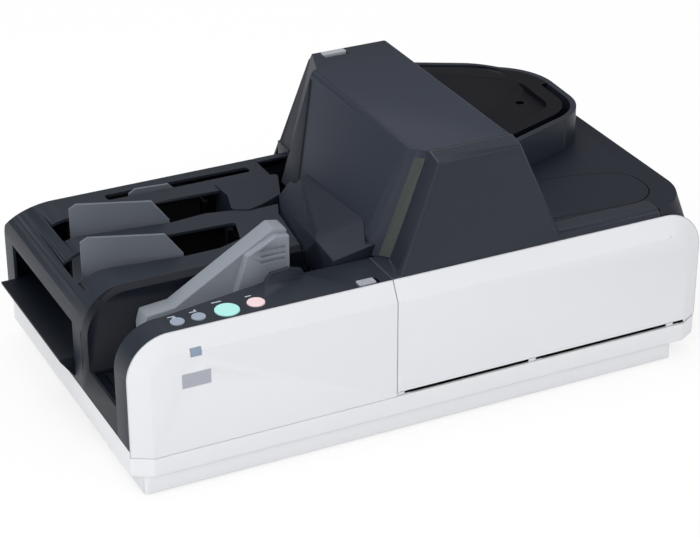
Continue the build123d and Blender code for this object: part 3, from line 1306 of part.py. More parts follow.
with BuildPart() as main_board:
    board_low = chassis_top + 4
    block((-228, -122), (-48, 28), (board_low, board_low + 1.6))
    block((-200, -180), (-20, 0), (board_low + 1.6, board_low + 4))
    block((-160, -148), (-30, 10), (board_low + 1.6, board_low + 9))
    for x in (-220, -212, -140, -132):
        rod(level(board_low + 1.6), (x, 14), 3.5, 10)
main_board.part.label = "main_board"
export_step(main_board.part, "parts/main_board.step")

with BuildPart() as power_inlet:
    # low-voltage socket with its centre pin
    block((160, 172), (rear - 19, half_depth - wall - 1), (socket_shelf[1], socket_shelf[1] + 10))
    rod(across(half_depth), (166, socket_shelf[1] + 5), 3.2, 14, Mode.SUBTRACT)
    rod(across(half_depth - wall - 4), (166, socket_shelf[1] + 5), 1.0, 10)
power_inlet.part.label = "power_inlet"
export_step(power_inlet.part, "parts/power_inlet.step")

with BuildPart() as interface_port:
    # data socket with its tongue
    block((184, 196), (rear - 19, half_depth - wall - 1), (socket_shelf[1], socket_shelf[1] + 11))
    block((185.8, 194.2), (rear - 14, half_depth), (socket_shelf[1] + 1.8, socket_shelf[1] + 9.2),
          Mode.SUBTRACT)
    block((187.6, 192.4), (rear - 15, half_depth - wall - 4), (socket_shelf[1] + 4, socket_shelf[1] + 7))
interface_port.part.label = "interface_port"
export_step(interface_port.part, "parts/interface_port.step")
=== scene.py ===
import json
import logging
import math
from dataclasses import dataclass, field
from enum import Enum

import bmesh
import bpy
from mathutils import Matrix, Vector


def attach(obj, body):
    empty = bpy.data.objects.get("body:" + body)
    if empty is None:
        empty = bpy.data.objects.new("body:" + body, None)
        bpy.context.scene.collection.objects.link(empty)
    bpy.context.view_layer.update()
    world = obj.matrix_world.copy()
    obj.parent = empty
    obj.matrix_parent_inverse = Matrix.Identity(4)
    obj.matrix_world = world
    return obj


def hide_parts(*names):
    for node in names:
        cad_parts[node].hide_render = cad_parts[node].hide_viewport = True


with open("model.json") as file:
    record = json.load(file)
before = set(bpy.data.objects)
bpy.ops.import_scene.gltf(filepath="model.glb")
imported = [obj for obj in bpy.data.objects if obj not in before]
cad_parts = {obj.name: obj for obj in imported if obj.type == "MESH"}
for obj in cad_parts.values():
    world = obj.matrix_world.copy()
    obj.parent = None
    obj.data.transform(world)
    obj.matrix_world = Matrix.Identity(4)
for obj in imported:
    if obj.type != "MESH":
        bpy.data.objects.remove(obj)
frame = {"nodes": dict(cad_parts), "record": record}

logging.basicConfig(level=logging.INFO, format="%(message)s")
log = logging.getLogger("cheque_scanner")

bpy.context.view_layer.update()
MM = 0.001
CENTRE_X = 6.0           # the body's middle lies this far right of the frame's origin, in mm
SMOOTH_ANGLE = math.radians(32)


# ================= small helpers =================
def linear(colour: str) -> tuple[float, float, float, float]:
    """Turns an sRGB hex colour to linear RGBA.

    Args:
        colour: Six hex digits with a leading #.

    Returns:
        Linear red, green, blue and an alpha of 1.
    """
    parts = [int(colour[i:i + 2], 16) / 255 for i in (1, 3, 5)]
    levels = [c / 12.92 if c <= 0.04045 else ((c + 0.055) / 1.055) ** 2.4 for c in parts]
    return (levels[0], levels[1], levels[2], 1.0)


def add_node(tree: bpy.types.NodeTree, kind: str, settings: dict | None = None,
             links: dict | None = None) -> bpy.types.Node:
    """Adds one shader node with its settings and incoming links.

    Args:
        tree: Node tree of a material or the world.
        kind: Node type, such as ShaderNodeBump.
        settings: Attributes by name, or input values by socket name or index.
        links: Output sockets by the name or index of the input that they feed.

    Returns:
        The new node.
    """
    made = tree.nodes.new(kind)
    for key, value in (settings or {}).items():
        if isinstance(key, str) and hasattr(made, key):
            setattr(made, key, value)
        else:
            made.inputs[key].default_value = value
    for key, socket in (links or {}).items():
        tree.links.new(socket, made.inputs[key])
    return made


def at(x: float, y: float, z: float) -> Vector:
    """A point in metres from body-centred millimetres."""
    return Vector((x + CENTRE_X, y, z)) * MM


def select_only(piece: bpy.types.Object) -> None:
    """Makes one object the only selected and the active one."""
    bpy.ops.object.select_all(action="DESELECT")
    piece.select_set(True)
    bpy.context.view_layer.objects.active = piece


# ================= finishes =================
class Body(Enum):
    """Bodies of the frame that new pieces ride on."""

    ROOT = "root"
    FRONT_COVER = "front_cover"
    FRONT_LATCH = "front_latch"
    REAR_COVER = "rear_cover"
    HOOD_LATCH = "hood_latch"
    ACCESS_LID = "access_lid"


@dataclass(frozen=True)
class MouldedPlastic:
    """Injection-moulded ABS: a fine spark-eroded grain breaks the gloss, and edges catch the light; the colour is also
    lightened at edges as a painted highlight.

    Grain is drawn a little coarser than the real 0.1 mm, so that it shows.
    """

    name: str
    colour: str
    roughness: float = 0.45
    grain_mm: float = 0.9
    grain_height_mm: float = 0.012
    mottle_mm: float = 45.0
    mottle: float = 0.035
    edge_round_mm: float = 0.5
    # painted highlight: share by which the colour is lightened towards white at edges
    painted_edge_highlight: float = 0.12
    specular: float = 0.3

    def build(self) -> bpy.types.Material:
        """Builds the material.

        Returns:
            The finished material.
        """
        material, tree, shader = fresh_material(self.name)
        place = add_node(tree, "ShaderNodeTexCoord")
        cloud = add_node(tree, "ShaderNodeTexNoise", {"Scale": 1000 / self.mottle_mm, "Detail": 3.0},
                         {"Vector": place.outputs["Object"]})
        grain = add_node(tree, "ShaderNodeTexNoise", {"Scale": 1000 / self.grain_mm, "Detail": 2.0},
                         {"Vector": place.outputs["Object"]})
        base = linear(self.colour)
        dark = tuple(c * (1 - self.mottle) for c in base[:3]) + (1.0,)
        light = tuple(min(1.0, c * (1 + self.mottle)) for c in base[:3]) + (1.0,)
        shade = add_node(tree, "ShaderNodeMix", {"data_type": "RGBA", 6: dark, 7: light},
                         {0: cloud.outputs["Fac"]})
        rounded = add_node(tree, "ShaderNodeBevel", {"samples": 4, "Radius": self.edge_round_mm * MM})
        surface = add_node(tree, "ShaderNodeNewGeometry")
        turn = add_node(tree, "ShaderNodeVectorMath", {"operation": "DOT_PRODUCT"},
                        {0: rounded.outputs["Normal"], 1: surface.outputs["Normal"]})
        edge = add_node(tree, "ShaderNodeMapRange",
                        {"From Min": 0.995, "From Max": 0.8, "To Min": 0.0, "To Max": self.painted_edge_highlight},
                        {"Value": turn.outputs["Value"]})
        # painted highlight: the colour goes halfway to white where the edge mask is high
        highlight_colour = tuple(c + (1 - c) * 0.5 for c in base[:3]) + (1.0,)
        colour = add_node(tree, "ShaderNodeMix", {"data_type": "RGBA", 7: highlight_colour},
                          {0: edge.outputs["Result"], 6: shade.outputs[2]})
        rough = add_node(tree, "ShaderNodeMapRange",
                         {"To Min": self.roughness - 0.04, "To Max": self.roughness + 0.04},
                         {"Value": grain.outputs["Fac"]})
        bump = add_node(tree, "ShaderNodeBump", {"Strength": 0.6, "Distance": self.grain_height_mm * MM},
                        {"Height": grain.outputs["Fac"], "Normal": rounded.outputs["Normal"]})
        tree.links.new(colour.outputs[2], shader.inputs["Base Color"])
        tree.links.new(rough.outputs["Result"], shader.inputs["Roughness"])
        tree.links.new(bump.outputs["Normal"], shader.inputs["Normal"])
        shader.inputs["Specular IOR Level"].default_value = self.specular
        return material


@dataclass(frozen=True)
class BrushedMetal:
    """Drawn or brushed sheet: fine scratches run one way and stretch the highlights."""

    name: str
    colour: str
    roughness: float = 0.3
    along: tuple[float, float, float] = (1.0, 1.0, 30.0)
    scratch_mm: float = 1.2

    def build(self) -> bpy.types.Material:
        """Builds the material.

        Returns:
            The finished material.
        """
        material, tree, shader = fresh_material(self.name)
        place = add_node(tree, "ShaderNodeTexCoord")
        stretched = add_node(tree, "ShaderNodeMapping", {"Scale": self.along},
                             {"Vector": place.outputs["Object"]})
        scratch = add_node(tree, "ShaderNodeTexNoise", {"Scale": 1000 / self.scratch_mm / 10, "Detail": 4.0},
                           {"Vector": stretched.outputs["Vector"]})
        base = linear(self.colour)
        dark = tuple(c * 0.86 for c in base[:3]) + (1.0,)
        shade = add_node(tree, "ShaderNodeMix", {"data_type": "RGBA", 6: dark, 7: base},
                         {0: scratch.outputs["Fac"]})
        rough = add_node(tree, "ShaderNodeMapRange",
                         {"To Min": self.roughness - 0.08, "To Max": self.roughness + 0.08},
                         {"Value": scratch.outputs["Fac"]})
        rounded = add_node(tree, "ShaderNodeBevel", {"samples": 4, "Radius": 0.25 * MM})
        bump = add_node(tree, "ShaderNodeBump", {"Strength": 0.3, "Distance": 0.01 * MM},
                        {"Height": scratch.outputs["Fac"], "Normal": rounded.outputs["Normal"]})
        tree.links.new(shade.outputs[2], shader.inputs["Base Color"])
        tree.links.new(rough.outputs["Result"], shader.inputs["Roughness"])
        tree.links.new(bump.outputs["Normal"], shader.inputs["Normal"])
        shader.inputs["Metallic"].default_value = 1.0
        return material


@dataclass(frozen=True)
class BandedShaft:
    """Roller on a steel shaft: rubber sleeve and moulded pulley told apart by their height on the shaft."""

    name: str
    sleeve: tuple[float, float]
    pulley: tuple[float, float] | None
    rubber: str = "#3A3B3E"
    plastic: str = "#23252A"
    steel: str = "#C4C6CA"
    groove_mm: float = 3.0

    def build(self) -> bpy.types.Material:
        """Builds the material.

        Returns:
            The finished material.
        """
        material, tree, shader = fresh_material(self.name)
        place = add_node(tree, "ShaderNodeTexCoord")
        axes = add_node(tree, "ShaderNodeSeparateXYZ", {}, {0: place.outputs["Object"]})
        height = axes.outputs["Z"]
        sleeve = self.band(tree, height, self.sleeve)
        colour = add_node(tree, "ShaderNodeMix", {"data_type": "RGBA", 6: linear(self.steel), 7: linear(self.rubber)},
                          {0: sleeve})
        covered = sleeve
        if self.pulley:
            pulley = self.band(tree, height, self.pulley)
            colour = add_node(tree, "ShaderNodeMix", {"data_type": "RGBA", 7: linear(self.plastic)},
                              {0: pulley, 6: colour.outputs[2]})
            both = add_node(tree, "ShaderNodeMath", {"operation": "MAXIMUM"}, {0: sleeve, 1: pulley})
            covered = both.outputs[0]
        metal = add_node(tree, "ShaderNodeMath", {"operation": "SUBTRACT", 0: 1.0}, {1: covered})
        rough = add_node(tree, "ShaderNodeMapRange", {"To Min": 0.25, "To Max": 0.7}, {"Value": covered})
        wave = add_node(tree, "ShaderNodeTexWave", {"bands_direction": "Z", "Scale": 1000 / self.groove_mm / 20},
                        {"Vector": place.outputs["Object"]})
        depth = add_node(tree, "ShaderNodeMath", {"operation": "MULTIPLY"}, {0: wave.outputs["Fac"], 1: sleeve})
        bump = add_node(tree, "ShaderNodeBump", {"Strength": 0.4, "Distance": 0.2 * MM},
                        {"Height": depth.outputs[0]})
        tree.links.new(colour.outputs[2], shader.inputs["Base Color"])
        tree.links.new(metal.outputs[0], shader.inputs["Metallic"])
        tree.links.new(rough.outputs["Result"], shader.inputs["Roughness"])
        tree.links.new(bump.outputs["Normal"], shader.inputs["Normal"])
        return material

    def band(self, tree: bpy.types.NodeTree, height: bpy.types.NodeSocket,
             span: tuple[float, float]) -> bpy.types.NodeSocket:
        """Mask that is 1 between two heights.

        Args:
            tree: The material's node tree.
            height: Socket with the height in metres.
            span: Low and high end of the band in millimetres.

        Returns:
            The mask's socket.
        """
        above = add_node(tree, "ShaderNodeMath", {"operation": "GREATER_THAN", 1: span[0] * MM}, {0: height})
        below = add_node(tree, "ShaderNodeMath", {"operation": "LESS_THAN", 1: span[1] * MM}, {0: height})
        inside = add_node(tree, "ShaderNodeMath", {"operation": "MULTIPLY"},
                          {0: above.outputs[0], 1: below.outputs[0]})
        return inside.outputs[0]


@dataclass(frozen=True)
class ClearGlass:
    """Polished float glass over the image sensors, with faint smears that dull it here and there."""

    name: str
    colour: str = "#DCE8E6"

    def build(self) -> bpy.types.Material:
        """Builds the material.

        Returns:
            The finished material.
        """
        material, tree, shader = fresh_material(self.name)
        place = add_node(tree, "ShaderNodeTexCoord")
        smear = add_node(tree, "ShaderNodeTexNoise", {"Scale": 60.0, "Detail": 3.0},
                         {"Vector": place.outputs["Object"]})
        rough = add_node(tree, "ShaderNodeMapRange", {"To Min": 0.02, "To Max": 0.12},
                         {"Value": smear.outputs["Fac"]})
        tree.links.new(rough.outputs["Result"], shader.inputs["Roughness"])
        shader.inputs["Base Color"].default_value = linear(self.colour)
        shader.inputs["Transmission Weight"].default_value = 0.85
        shader.inputs["IOR"].default_value = 1.5
        return material


def fresh_material(name: str) -> tuple[bpy.types.Material, bpy.types.NodeTree, bpy.types.Node]:
    """Makes an empty node material with one Principled shader.

    Args:
        name: Name of the material.

    Returns:
        The material, its node tree and its shader node.
    """
    material = bpy.data.materials.new(name)
    material.use_nodes = True
    tree = material.node_tree
    tree.nodes.clear()
    shader = tree.nodes.new("ShaderNodeBsdfPrincipled")
    out = tree.nodes.new("ShaderNodeOutputMaterial")
    tree.links.new(shader.outputs["BSDF"], out.inputs["Surface"])
    return material, tree, shader


class FinishBook:
    """Every finish of the scanner, built once and handed out by its slot name."""

    def __init__(self) -> None:
        """Lists the finishes by slot; the record's slots are the keys."""
        roller = {"sleeve": (83.9, 120.1), "pulley": (36.9, 47.1)}
        self.recipes = {
            "white_shell": MouldedPlastic("white_abs_front", "#E4E6EA", roughness=0.38, mottle=0.008, painted_edge_highlight=0.0,
                                          edge_round_mm=1.2),
            "base_white": MouldedPlastic("white_abs_base", "#E8E9EC", roughness=0.42, mottle=0.01, painted_edge_highlight=0.0,
                                         edge_round_mm=1.0),
            "dark_shell": MouldedPlastic("charcoal_abs_casing", "#252B36"),
            "dark_deck": MouldedPlastic("charcoal_abs_deck", "#1D212E", specular=0.24),
            # charcoal of the trench's parts, made darker as painted shade of the recess
            "trench_painted_shade": MouldedPlastic("charcoal_abs_trench_painted_shade", "#131822", specular=0.2),
            "dark_hood": MouldedPlastic("charcoal_abs_hood", "#2C3240"),
            # the cap's edges take a stronger painted highlight, for its bright front edge
            "dark_cap": MouldedPlastic("charcoal_abs_cap", "#292E39", edge_round_mm=1.5, painted_edge_highlight=0.3),
            "dark_rear": MouldedPlastic("charcoal_abs_rear", "#272C38"),
            "dark_ramp": MouldedPlastic("charcoal_abs_ramp", "#222834", specular=0.26),
            "dark_island": MouldedPlastic("black_abs_island", "#0F1017", specular=0.12),
            "dark_housing": MouldedPlastic("charcoal_abs_housing", "#222834"),
            "trim_grey": MouldedPlastic("grey_green_trim", "#3B403F", painted_edge_highlight=0.0),
            "inner_black": MouldedPlastic("black_abs_inner", "#0E0F12", roughness=0.6, specular=0.2),
            "guide_grey": MouldedPlastic("grey_abs_guide", "#8A9099", roughness=0.42, painted_edge_highlight=0.3),
            "plate_smoke": MouldedPlastic("smoke_grey_plate", "#6A6F79", roughness=0.32, painted_edge_highlight=0.55),
            "button_grey": MouldedPlastic("blue_grey_button", "#99A4B5", roughness=0.35, painted_edge_highlight=0.1),
            "button_mint": MouldedPlastic("mint_button", "#B4F2EC", roughness=0.35, painted_edge_highlight=0.1),
            "button_pink": MouldedPlastic("pink_button", "#F6DDDF", roughness=0.35, painted_edge_highlight=0.1),
            "latch_grey": MouldedPlastic("light_grey_latch", "#A9ACB4", roughness=0.4),
            "print_white": MouldedPlastic("white_print", "#C9D2DC", roughness=0.5, painted_edge_highlight=0.0),
            "badge_silver": BrushedMetal("brushed_aluminium_badge", "#B9BCC6", along=(1.0, 1.0, 30.0)),
            "lens_blue": MouldedPlastic("blue_grey_window", "#8C9CB2", roughness=0.15, grain_height_mm=0.002),
            "rubber_black": MouldedPlastic("black_rubber_foot", "#1B1B1C", roughness=0.8),
            "roller_rubber": BandedShaft("rubber_roller", **roller),
            "bright_steel": BrushedMetal("turned_steel", "#C8CACD", roughness=0.22),
            "zinc_plate": BrushedMetal("zinc_plated_sheet", "#A9ADB3", roughness=0.4),
            "hopper_grey": BrushedMetal("anodised_hopper_plate", "#647080", roughness=0.35, along=(1.0, 30.0, 1.0)),
            "frame_grey": MouldedPlastic("grey_abs_frame", "#4A4D53"),
            "sensor_black": MouldedPlastic("black_abs_sensor", "#191A1D", roughness=0.5),
            "clear_glass": ClearGlass("sensor_glass"),
            "board_green": MouldedPlastic("green_solder_mask", "#1E5A3C", roughness=0.3, mottle=0.2, mottle_mm=4.0),
            "motor_case": BrushedMetal("drawn_steel_case", "#8B8E94", roughness=0.35),
            "belt_black": MouldedPlastic("black_belt_rubber", "#1A1A1B", roughness=0.75),
            "cartridge_black": MouldedPlastic("black_cartridge", "#202227", roughness=0.5),
            "socket_black": MouldedPlastic("black_socket", "#17181A", roughness=0.5),
            "socket_steel": BrushedMetal("tinned_steel_shell", "#B5B7BB", roughness=0.3),
        }
        self.built: dict[str, bpy.types.Material] = {}

    def material(self, slot: str) -> bpy.types.Material:
        """Material of a slot, built when it is first asked for."""
        if slot not in self.built:
            self.built[slot] = self.recipes[slot].build()
        return self.built[slot]


FINISHES = FinishBook()


# ================= pieces carried over from the frame =================
@dataclass
class CarriedShell:
    """A casing piece whose edges are rounded on a copy, which then stands for the frame's node.

    Attributes:
        node: The frame's node.
        slot: Slot of its finish.
        body: Body that it rides on.
        width_mm: Radius of the rounded edges.
        least_mm: Edges shorter than this stay sharp.
        corner: Least turn between two faces that makes an edge worth rounding, in degrees.
        segments: Steps of each rounded edge.
        finish: Finish when it isn't the slot's own.
        shrink_mm: How far its sides draw in, which widens the seam round it.
        cuts: Boxes taken out of the copy.
    """

    node: str
    slot: str
    body: str
    width_mm: float = 0.8
    least_mm: float = 6.0
    corner: float = 28.0
    segments: int = 3
    finish: str = ""
    shrink_mm: float = 0.0
    cuts: tuple = ()

    def build(self) -> bpy.types.Object:
        """Copies, cleans and rounds the piece.

        Returns:
            The new piece, riding on its body.
        """
        source = frame["nodes"][self.node]
        mesh = source.data.copy()
        piece = bpy.data.objects.new(f"{self.node}_shell", mesh)
        bpy.context.scene.collection.objects.link(piece)
        select_only(piece)
        bpy.ops.object.mode_set(mode="EDIT")
        bpy.ops.mesh.select_all(action="SELECT")
        bpy.ops.mesh.remove_doubles(threshold=0.004 * MM)
        bpy.ops.mesh.dissolve_limited(angle_limit=math.radians(0.6))
        bpy.ops.object.mode_set(mode="OBJECT")
        self.draw_in(mesh)
        for cut in self.cuts:
            cut.take_from(piece)
        self.mark_edges(mesh)
        bevel = piece.modifiers.new("rounded_edges", "BEVEL")
        bevel.width = self.width_mm * MM
        bevel.segments = self.segments
        bevel.limit_method = "WEIGHT"
        bevel.use_clamp_overlap = True
        bevel.miter_outer = "MITER_ARC"
        bpy.ops.object.modifier_apply(modifier=bevel.name)
        bpy.ops.object.shade_smooth_by_angle(angle=SMOOTH_ANGLE)
        piece.data.materials.clear()
        piece.data.materials.append(FINISHES.material(self.finish or self.slot))
        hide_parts(self.node)
        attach(piece, self.body)
        log.info("%s: rounded copy of %s, %d faces", piece.name, self.node, len(piece.data.polygons))
        return piece

    def draw_in(self, mesh: bpy.types.Mesh) -> None:
        """Scales the copy about its middle along X and Y so that each side moves in by shrink_mm."""
        if not self.shrink_mm:
            return
        work = bmesh.new()
        work.from_mesh(mesh)
        for axis in (0, 1):
            low = min(vert.co[axis] for vert in work.verts)
            high = max(vert.co[axis] for vert in work.verts)
            share = 1 - 2 * self.shrink_mm * MM / (high - low)
            for vert in work.verts:
                vert.co[axis] = (low + high) / 2 + (vert.co[axis] - (low + high) / 2) * share
        work.to_mesh(mesh)
        work.free()

    def mark_edges(self, mesh: bpy.types.Mesh) -> None:
        """Gives a bevel weight to the outward edges that are long enough and have room for the radius."""
        work = bmesh.new()
        work.from_mesh(mesh)
        weight = work.edges.layers.float.get("bevel_weight_edge") or work.edges.layers.float.new("bevel_weight_edge")
        room = 2.2 * self.width_mm * MM
        for edge in work.edges:
            length = edge.calc_length()
            if len(edge.link_faces) != 2 or not edge.is_convex or length < self.least_mm * MM:
                continue
            if edge.calc_face_angle() < math.radians(self.corner):
                continue
            if any(face.calc_area() / length < room for face in edge.link_faces):
                continue
            edge[weight] = 1.0
        work.to_mesh(mesh)
        work.free()


def dress_frame(skip: set[str]) -> None:
    """Gives every frame node that still shows its slot's finish.

    Args:
        skip: Nodes that a new piece stands for.
    """
    slots = {entry["node"]: entry["material_slot"] for entry in frame["record"]["subparts"]}
    for name, node in frame["nodes"].items():
        if name in skip:
            continue
        node.data.materials.clear()
        node.data.materials.append(FINISHES.material(slots[name]))
        select_only(node)
        bpy.ops.object.shade_smooth_by_angle(angle=SMOOTH_ANGLE)


# ================= new pieces =================
@dataclass
class Block:
    """Box with softened edges.

    Attributes:
        name: Name of the piece.
        x: Left and right side in body-centred millimetres.
        y: Front and rear.
        z: Bottom and top.
        slot: Slot that its finish belongs to.
        body: Body that it rides on.
        soft_mm: Radius of its edges; none when 0.
        finish: Finish when it isn't the slot's own.
        lean: Turn about the X axis through its middle, in degrees.
    """

    name: str
    x: tuple[float, float]
    y: tuple[float, float]
    z: tuple[float, float]
    slot: str
    body: Body = Body.ROOT
    soft_mm: float = 0.2
    finish: str = ""
    lean: float = 0.0

    def build(self) -> bpy.types.Object:
        """Models the box.

        Returns:
            The finished piece, riding on its body.
        """
        bpy.ops.object.select_all(action="DESELECT")
        bpy.ops.mesh.primitive_cube_add(size=1.0, location=(0, 0, 0))
        middle = at(sum(self.x) / 2, sum(self.y) / 2, sum(self.z) / 2)
        size = [(high - low) * MM for low, high in (self.x, self.y, self.z)]
        return finish_piece(self, middle, size, Matrix.Rotation(math.radians(self.lean), 4, "X"))

    def take_from(self, piece: bpy.types.Object) -> None:
        """Cuts this box out of another piece.

        Args:
            piece: The piece that is cut.
        """
        bpy.ops.object.select_all(action="DESELECT")
        bpy.ops.mesh.primitive_cube_add(size=1.0, location=(0, 0, 0))
        cutter = bpy.context.object
        middle = at(sum(self.x) / 2, sum(self.y) / 2, sum(self.z) / 2)
        size = [(high - low) * MM for low, high in (self.x, self.y, self.z)]
        turn = Matrix.Rotation(math.radians(self.lean), 4, "X")
        cutter.data.transform(Matrix.Translation(middle) @ turn @ Matrix.Diagonal((*size, 1.0)))
        select_only(piece)
        cut = piece.modifiers.new(self.name, "BOOLEAN")
        cut.operation = "DIFFERENCE"
        cut.object = cutter
        bpy.ops.object.modifier_apply(modifier=cut.name)
        bpy.data.objects.remove(cutter)


@dataclass
class Facet:
    """Thin four-cornered strip that lies on a leaning face.

    Attributes:
        name: Name of the piece.
        corners: Its corners in order, in body-centred millimetres.
        proud_mm: How far it stands off the face.
        slot: Slot that its finish belongs to.
        body: Body that it rides on.
        finish: Finish when it isn't the slot's own.
    """

    name: str
    corners: tuple[tuple[float, float, float], ...]
    slot: str
    body: Body = Body.ROOT
    finish: str = ""
    proud_mm: float = 0.4
    sunk_mm: float = 0.5
    soft_mm: float = 0.0

    def build(self) -> bpy.types.Object:
        """Models the strip.

        Returns:
            The finished piece, riding on its body.
        """
        corners = [at(*corner) for corner in self.corners]
        normal = (corners[1] - corners[0]).cross(corners[3] - corners[0]).normalized()
        bpy.ops.object.select_all(action="DESELECT")
        bpy.ops.mesh.primitive_cube_add(size=1.0, location=(0, 0, 0))
        mesh = bpy.context.object.data
        order = {(-1, -1): 0, (1, -1): 1, (1, 1): 2, (-1, 1): 3}
        for vert in mesh.vertices:
            side = tuple(1 if value > 0 else -1 for value in vert.co)
            depth = self.proud_mm if side[2] > 0 else -self.sunk_mm
            vert.co = corners[order[side[:2]]] + normal * depth * MM
        return finish_piece(self, Vector(), [1.0, 1.0, 1.0], Matrix())


@dataclass
class Disc:
    """Short round piece: a screw head, a capacitor or a dot.

    Attributes:
        name: Name of the piece.
        centre: Middle of its low face in body-centred millimetres.
        radius: Radius in millimetres.
        height: Length along its axis.
        slot: Slot that its finish belongs to.
        body: Body that it rides on.
        soft_mm: Radius of its edges; none when 0.
        axis: Letter of the axis that it stands along.
        sides: Sides of the polygon that stands for the circle.
    """

    name: str
    centre: tuple[float, float, float]
    radius: float
    height: float
    slot: str
    body: Body = Body.ROOT
    soft_mm: float = 0.0
    axis: str = "Z"
    sides: int = 48
    finish: str = ""

    def build(self) -> bpy.types.Object:
        """Models the disc.

        Returns:
            The finished piece, riding on its body.
        """
        bpy.ops.object.select_all(action="DESELECT")
        bpy.ops.mesh.primitive_cylinder_add(vertices=self.sides, radius=0.5, depth=1.0, location=(0, 0, 0))
        way = {"X": Vector((1, 0, 0)), "Y": Vector((0, 1, 0)), "Z": Vector((0, 0, 1))}[self.axis]
        turn = way.to_track_quat("Z", "Y").to_matrix().to_4x4()
        middle = at(*self.centre) + way * self.height / 2 * MM
        size = [2 * self.radius * MM, 2 * self.radius * MM, self.height * MM]
        return finish_piece(self, middle, size, turn)


def finish_piece(plan: Block | Disc | Facet, middle: Vector, size: list[float], turn: Matrix) -> bpy.types.Object:
    """Shapes the active primitive in edit mode, rounds its edges and hands it to its body.

    Args:
        plan: The piece's description.
        middle: Where its middle goes.
        size: Its sides in metres.
        turn: Turn given to it before it is placed.

    Returns:
        The finished piece.
    """
    piece = bpy.context.object
    piece.name = plan.name
    bpy.ops.object.mode_set(mode="EDIT")
    bpy.ops.mesh.select_all(action="SELECT")
    work = bmesh.from_edit_mesh(piece.data)
    place = Matrix.Translation(middle) @ turn @ Matrix.Diagonal((*size, 1.0))
    bmesh.ops.transform(work, matrix=place, verts=work.verts)
    bmesh.update_edit_mesh(piece.data)
    bpy.ops.object.mode_set(mode="OBJECT")
    if plan.soft_mm:
        bevel = piece.modifiers.new("soft_edges", "BEVEL")
        bevel.width = plan.soft_mm * MM
        bevel.segments = 2
        bevel.limit_method = "ANGLE"
        bevel.angle_limit = math.radians(40)
        select_only(piece)
        bpy.ops.object.modifier_apply(modifier=bevel.name)
    select_only(piece)
    bpy.ops.object.shade_smooth_by_angle(angle=SMOOTH_ANGLE)
    piece.data.materials.clear()
    piece.data.materials.append(FINISHES.material(plan.finish or plan.slot))
    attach(piece, plan.body.value)
    return piece


@dataclass
class SubAssembly:
    """Group of new pieces that belong together.

    Attributes:
        title: What the group is called in the log.
        pieces: Descriptions of its pieces.
    """

    title: str
    pieces: list[Block | Disc | Facet] = field(default_factory=list)

    def plan(self) -> None:
        """Lists the pieces; each kind of group fills this in."""

    def build(self) -> None:
        """Models every piece of the group and logs each."""
        self.plan()
        for piece in self.pieces:
            made = piece.build()
            log.info("%s: %s, %d faces", self.title, made.name, len(made.data.polygons))


@dataclass
class PanelMarks(SubAssembly):
    """Small generic marks printed behind the buttons, in place of the real lettering."""

    title: str = "panel marks"
    top: float = 131.5
    ink: float = 0.03

    def plan(self) -> None:
        """A bar, a dot, a start triangle's stand-in and a stop square over the four buttons."""
        z = (self.top, self.top + self.ink)
        for number, (x, y, wide, deep) in enumerate(((-204.5, -114.6, 6.0, 1.0), (-203.0, -116.4, 3.0, 1.0),
                                                      (-187.0, -114.6, 6.0, 1.0), (-185.0, -112.8, 1.6, 1.6),
                                                      (-165.5, -108.4, 8.0, 1.2), (-140.5, -110.4, 5.0, 1.2)), 1):
            self.pieces.append(Block(f"panel_mark_{number}", (x - wide / 2, x + wide / 2), (y - deep / 2, y + deep / 2),
                                     z, "latch_grey", soft_mm=0.0, finish="print_white"))


@dataclass
class LatchGrips(SubAssembly):
    """Finger ribs across the two sliding latches."""

    title: str = "latch grips"

    def plan(self) -> None:
        """Four ribs on the front latch, five on the hood latch."""
        for number in range(4):
            x = -56.0 + 2.6 * number
            self.pieces.append(Block(f"front_latch_rib_{number + 1}", (x - 0.35, x + 0.35), (-132.4, -127.6),
                                     (132.2, 132.6), "latch_grey", Body.FRONT_LATCH))
        for number in range(5):
            x = 29.0 + 3.0 * number
            self.pieces.append(Block(f"hood_latch_rib_{number + 1}", (x - 0.4, x + 0.4), (102.4, 107.6),
                                     (217.6, 218.0 - 0.21), "latch_grey", Body.HOOD_LATCH, soft_mm=0.08))


@dataclass
class HoodTrim(SubAssembly):
    """Strip on the hood's chamfered corner, a black strip of painted shadow along its seam, and the rear cover's
    bevelled corner.
    """

    title: str = "hood trim"

    def plan(self) -> None:
        """Every strip follows its face between two heights."""
        low, high = 132.0, 211.0
        left = [(-24.1 + 0.3767 * (z - 129.0), -95.2 - 0.0222 * (z - 129.0), z) for z in (low, high)]
        right = [(-17.2 + 0.3711 * (z - 129.0), -103.2, z) for z in (low, high)]
        self.pieces.append(Facet("hood_corner_strip", (left[0], right[0], right[1], left[1]), "dark_hood",
                                 finish="trim_grey"))
        # black strip as painted shadow in the seam's groove
        seam = [(-35.0 + 0.4302 * (z - 131.0), 32.0 + 0.5507 * (z - 131.0) - 1.3, z) for z in (low, high)]
        back, front = ([(x, y + shift, z) for x, y, z in seam] for shift in (0.0, -2.0))
        self.pieces.append(Facet("hood_seam_shadow", (back[0], front[0], front[1], back[1]), "dark_hood",
                                 finish="inner_black"))
        self.pieces.append(Block("rear_corner_bevel", (-34.0, -4.3), (112.4, 149.8), (111.4, 113.9), "dark_shell",
                                 Body.REAR_COVER, lean=-46.1))
        self.pieces.append(Block("rear_corner_top", (-34.0, -4.3), (112.5, 119.4), (124.5, 127.0), "dark_shell",
                                 Body.REAR_COVER))
        self.pieces.append(Block("rear_corner_foot", (-4.6, -2.0), (113.0, 134.5), (114.0, 131.5), "dark_shell",
                                 Body.REAR_COVER))
        self.pieces.append(Block("front_cover_edge", (-30.0, 233.5), (-145.0, -144.8), (34.3, 36.5), "white_shell",
                                 Body.FRONT_COVER, soft_mm=0.0))


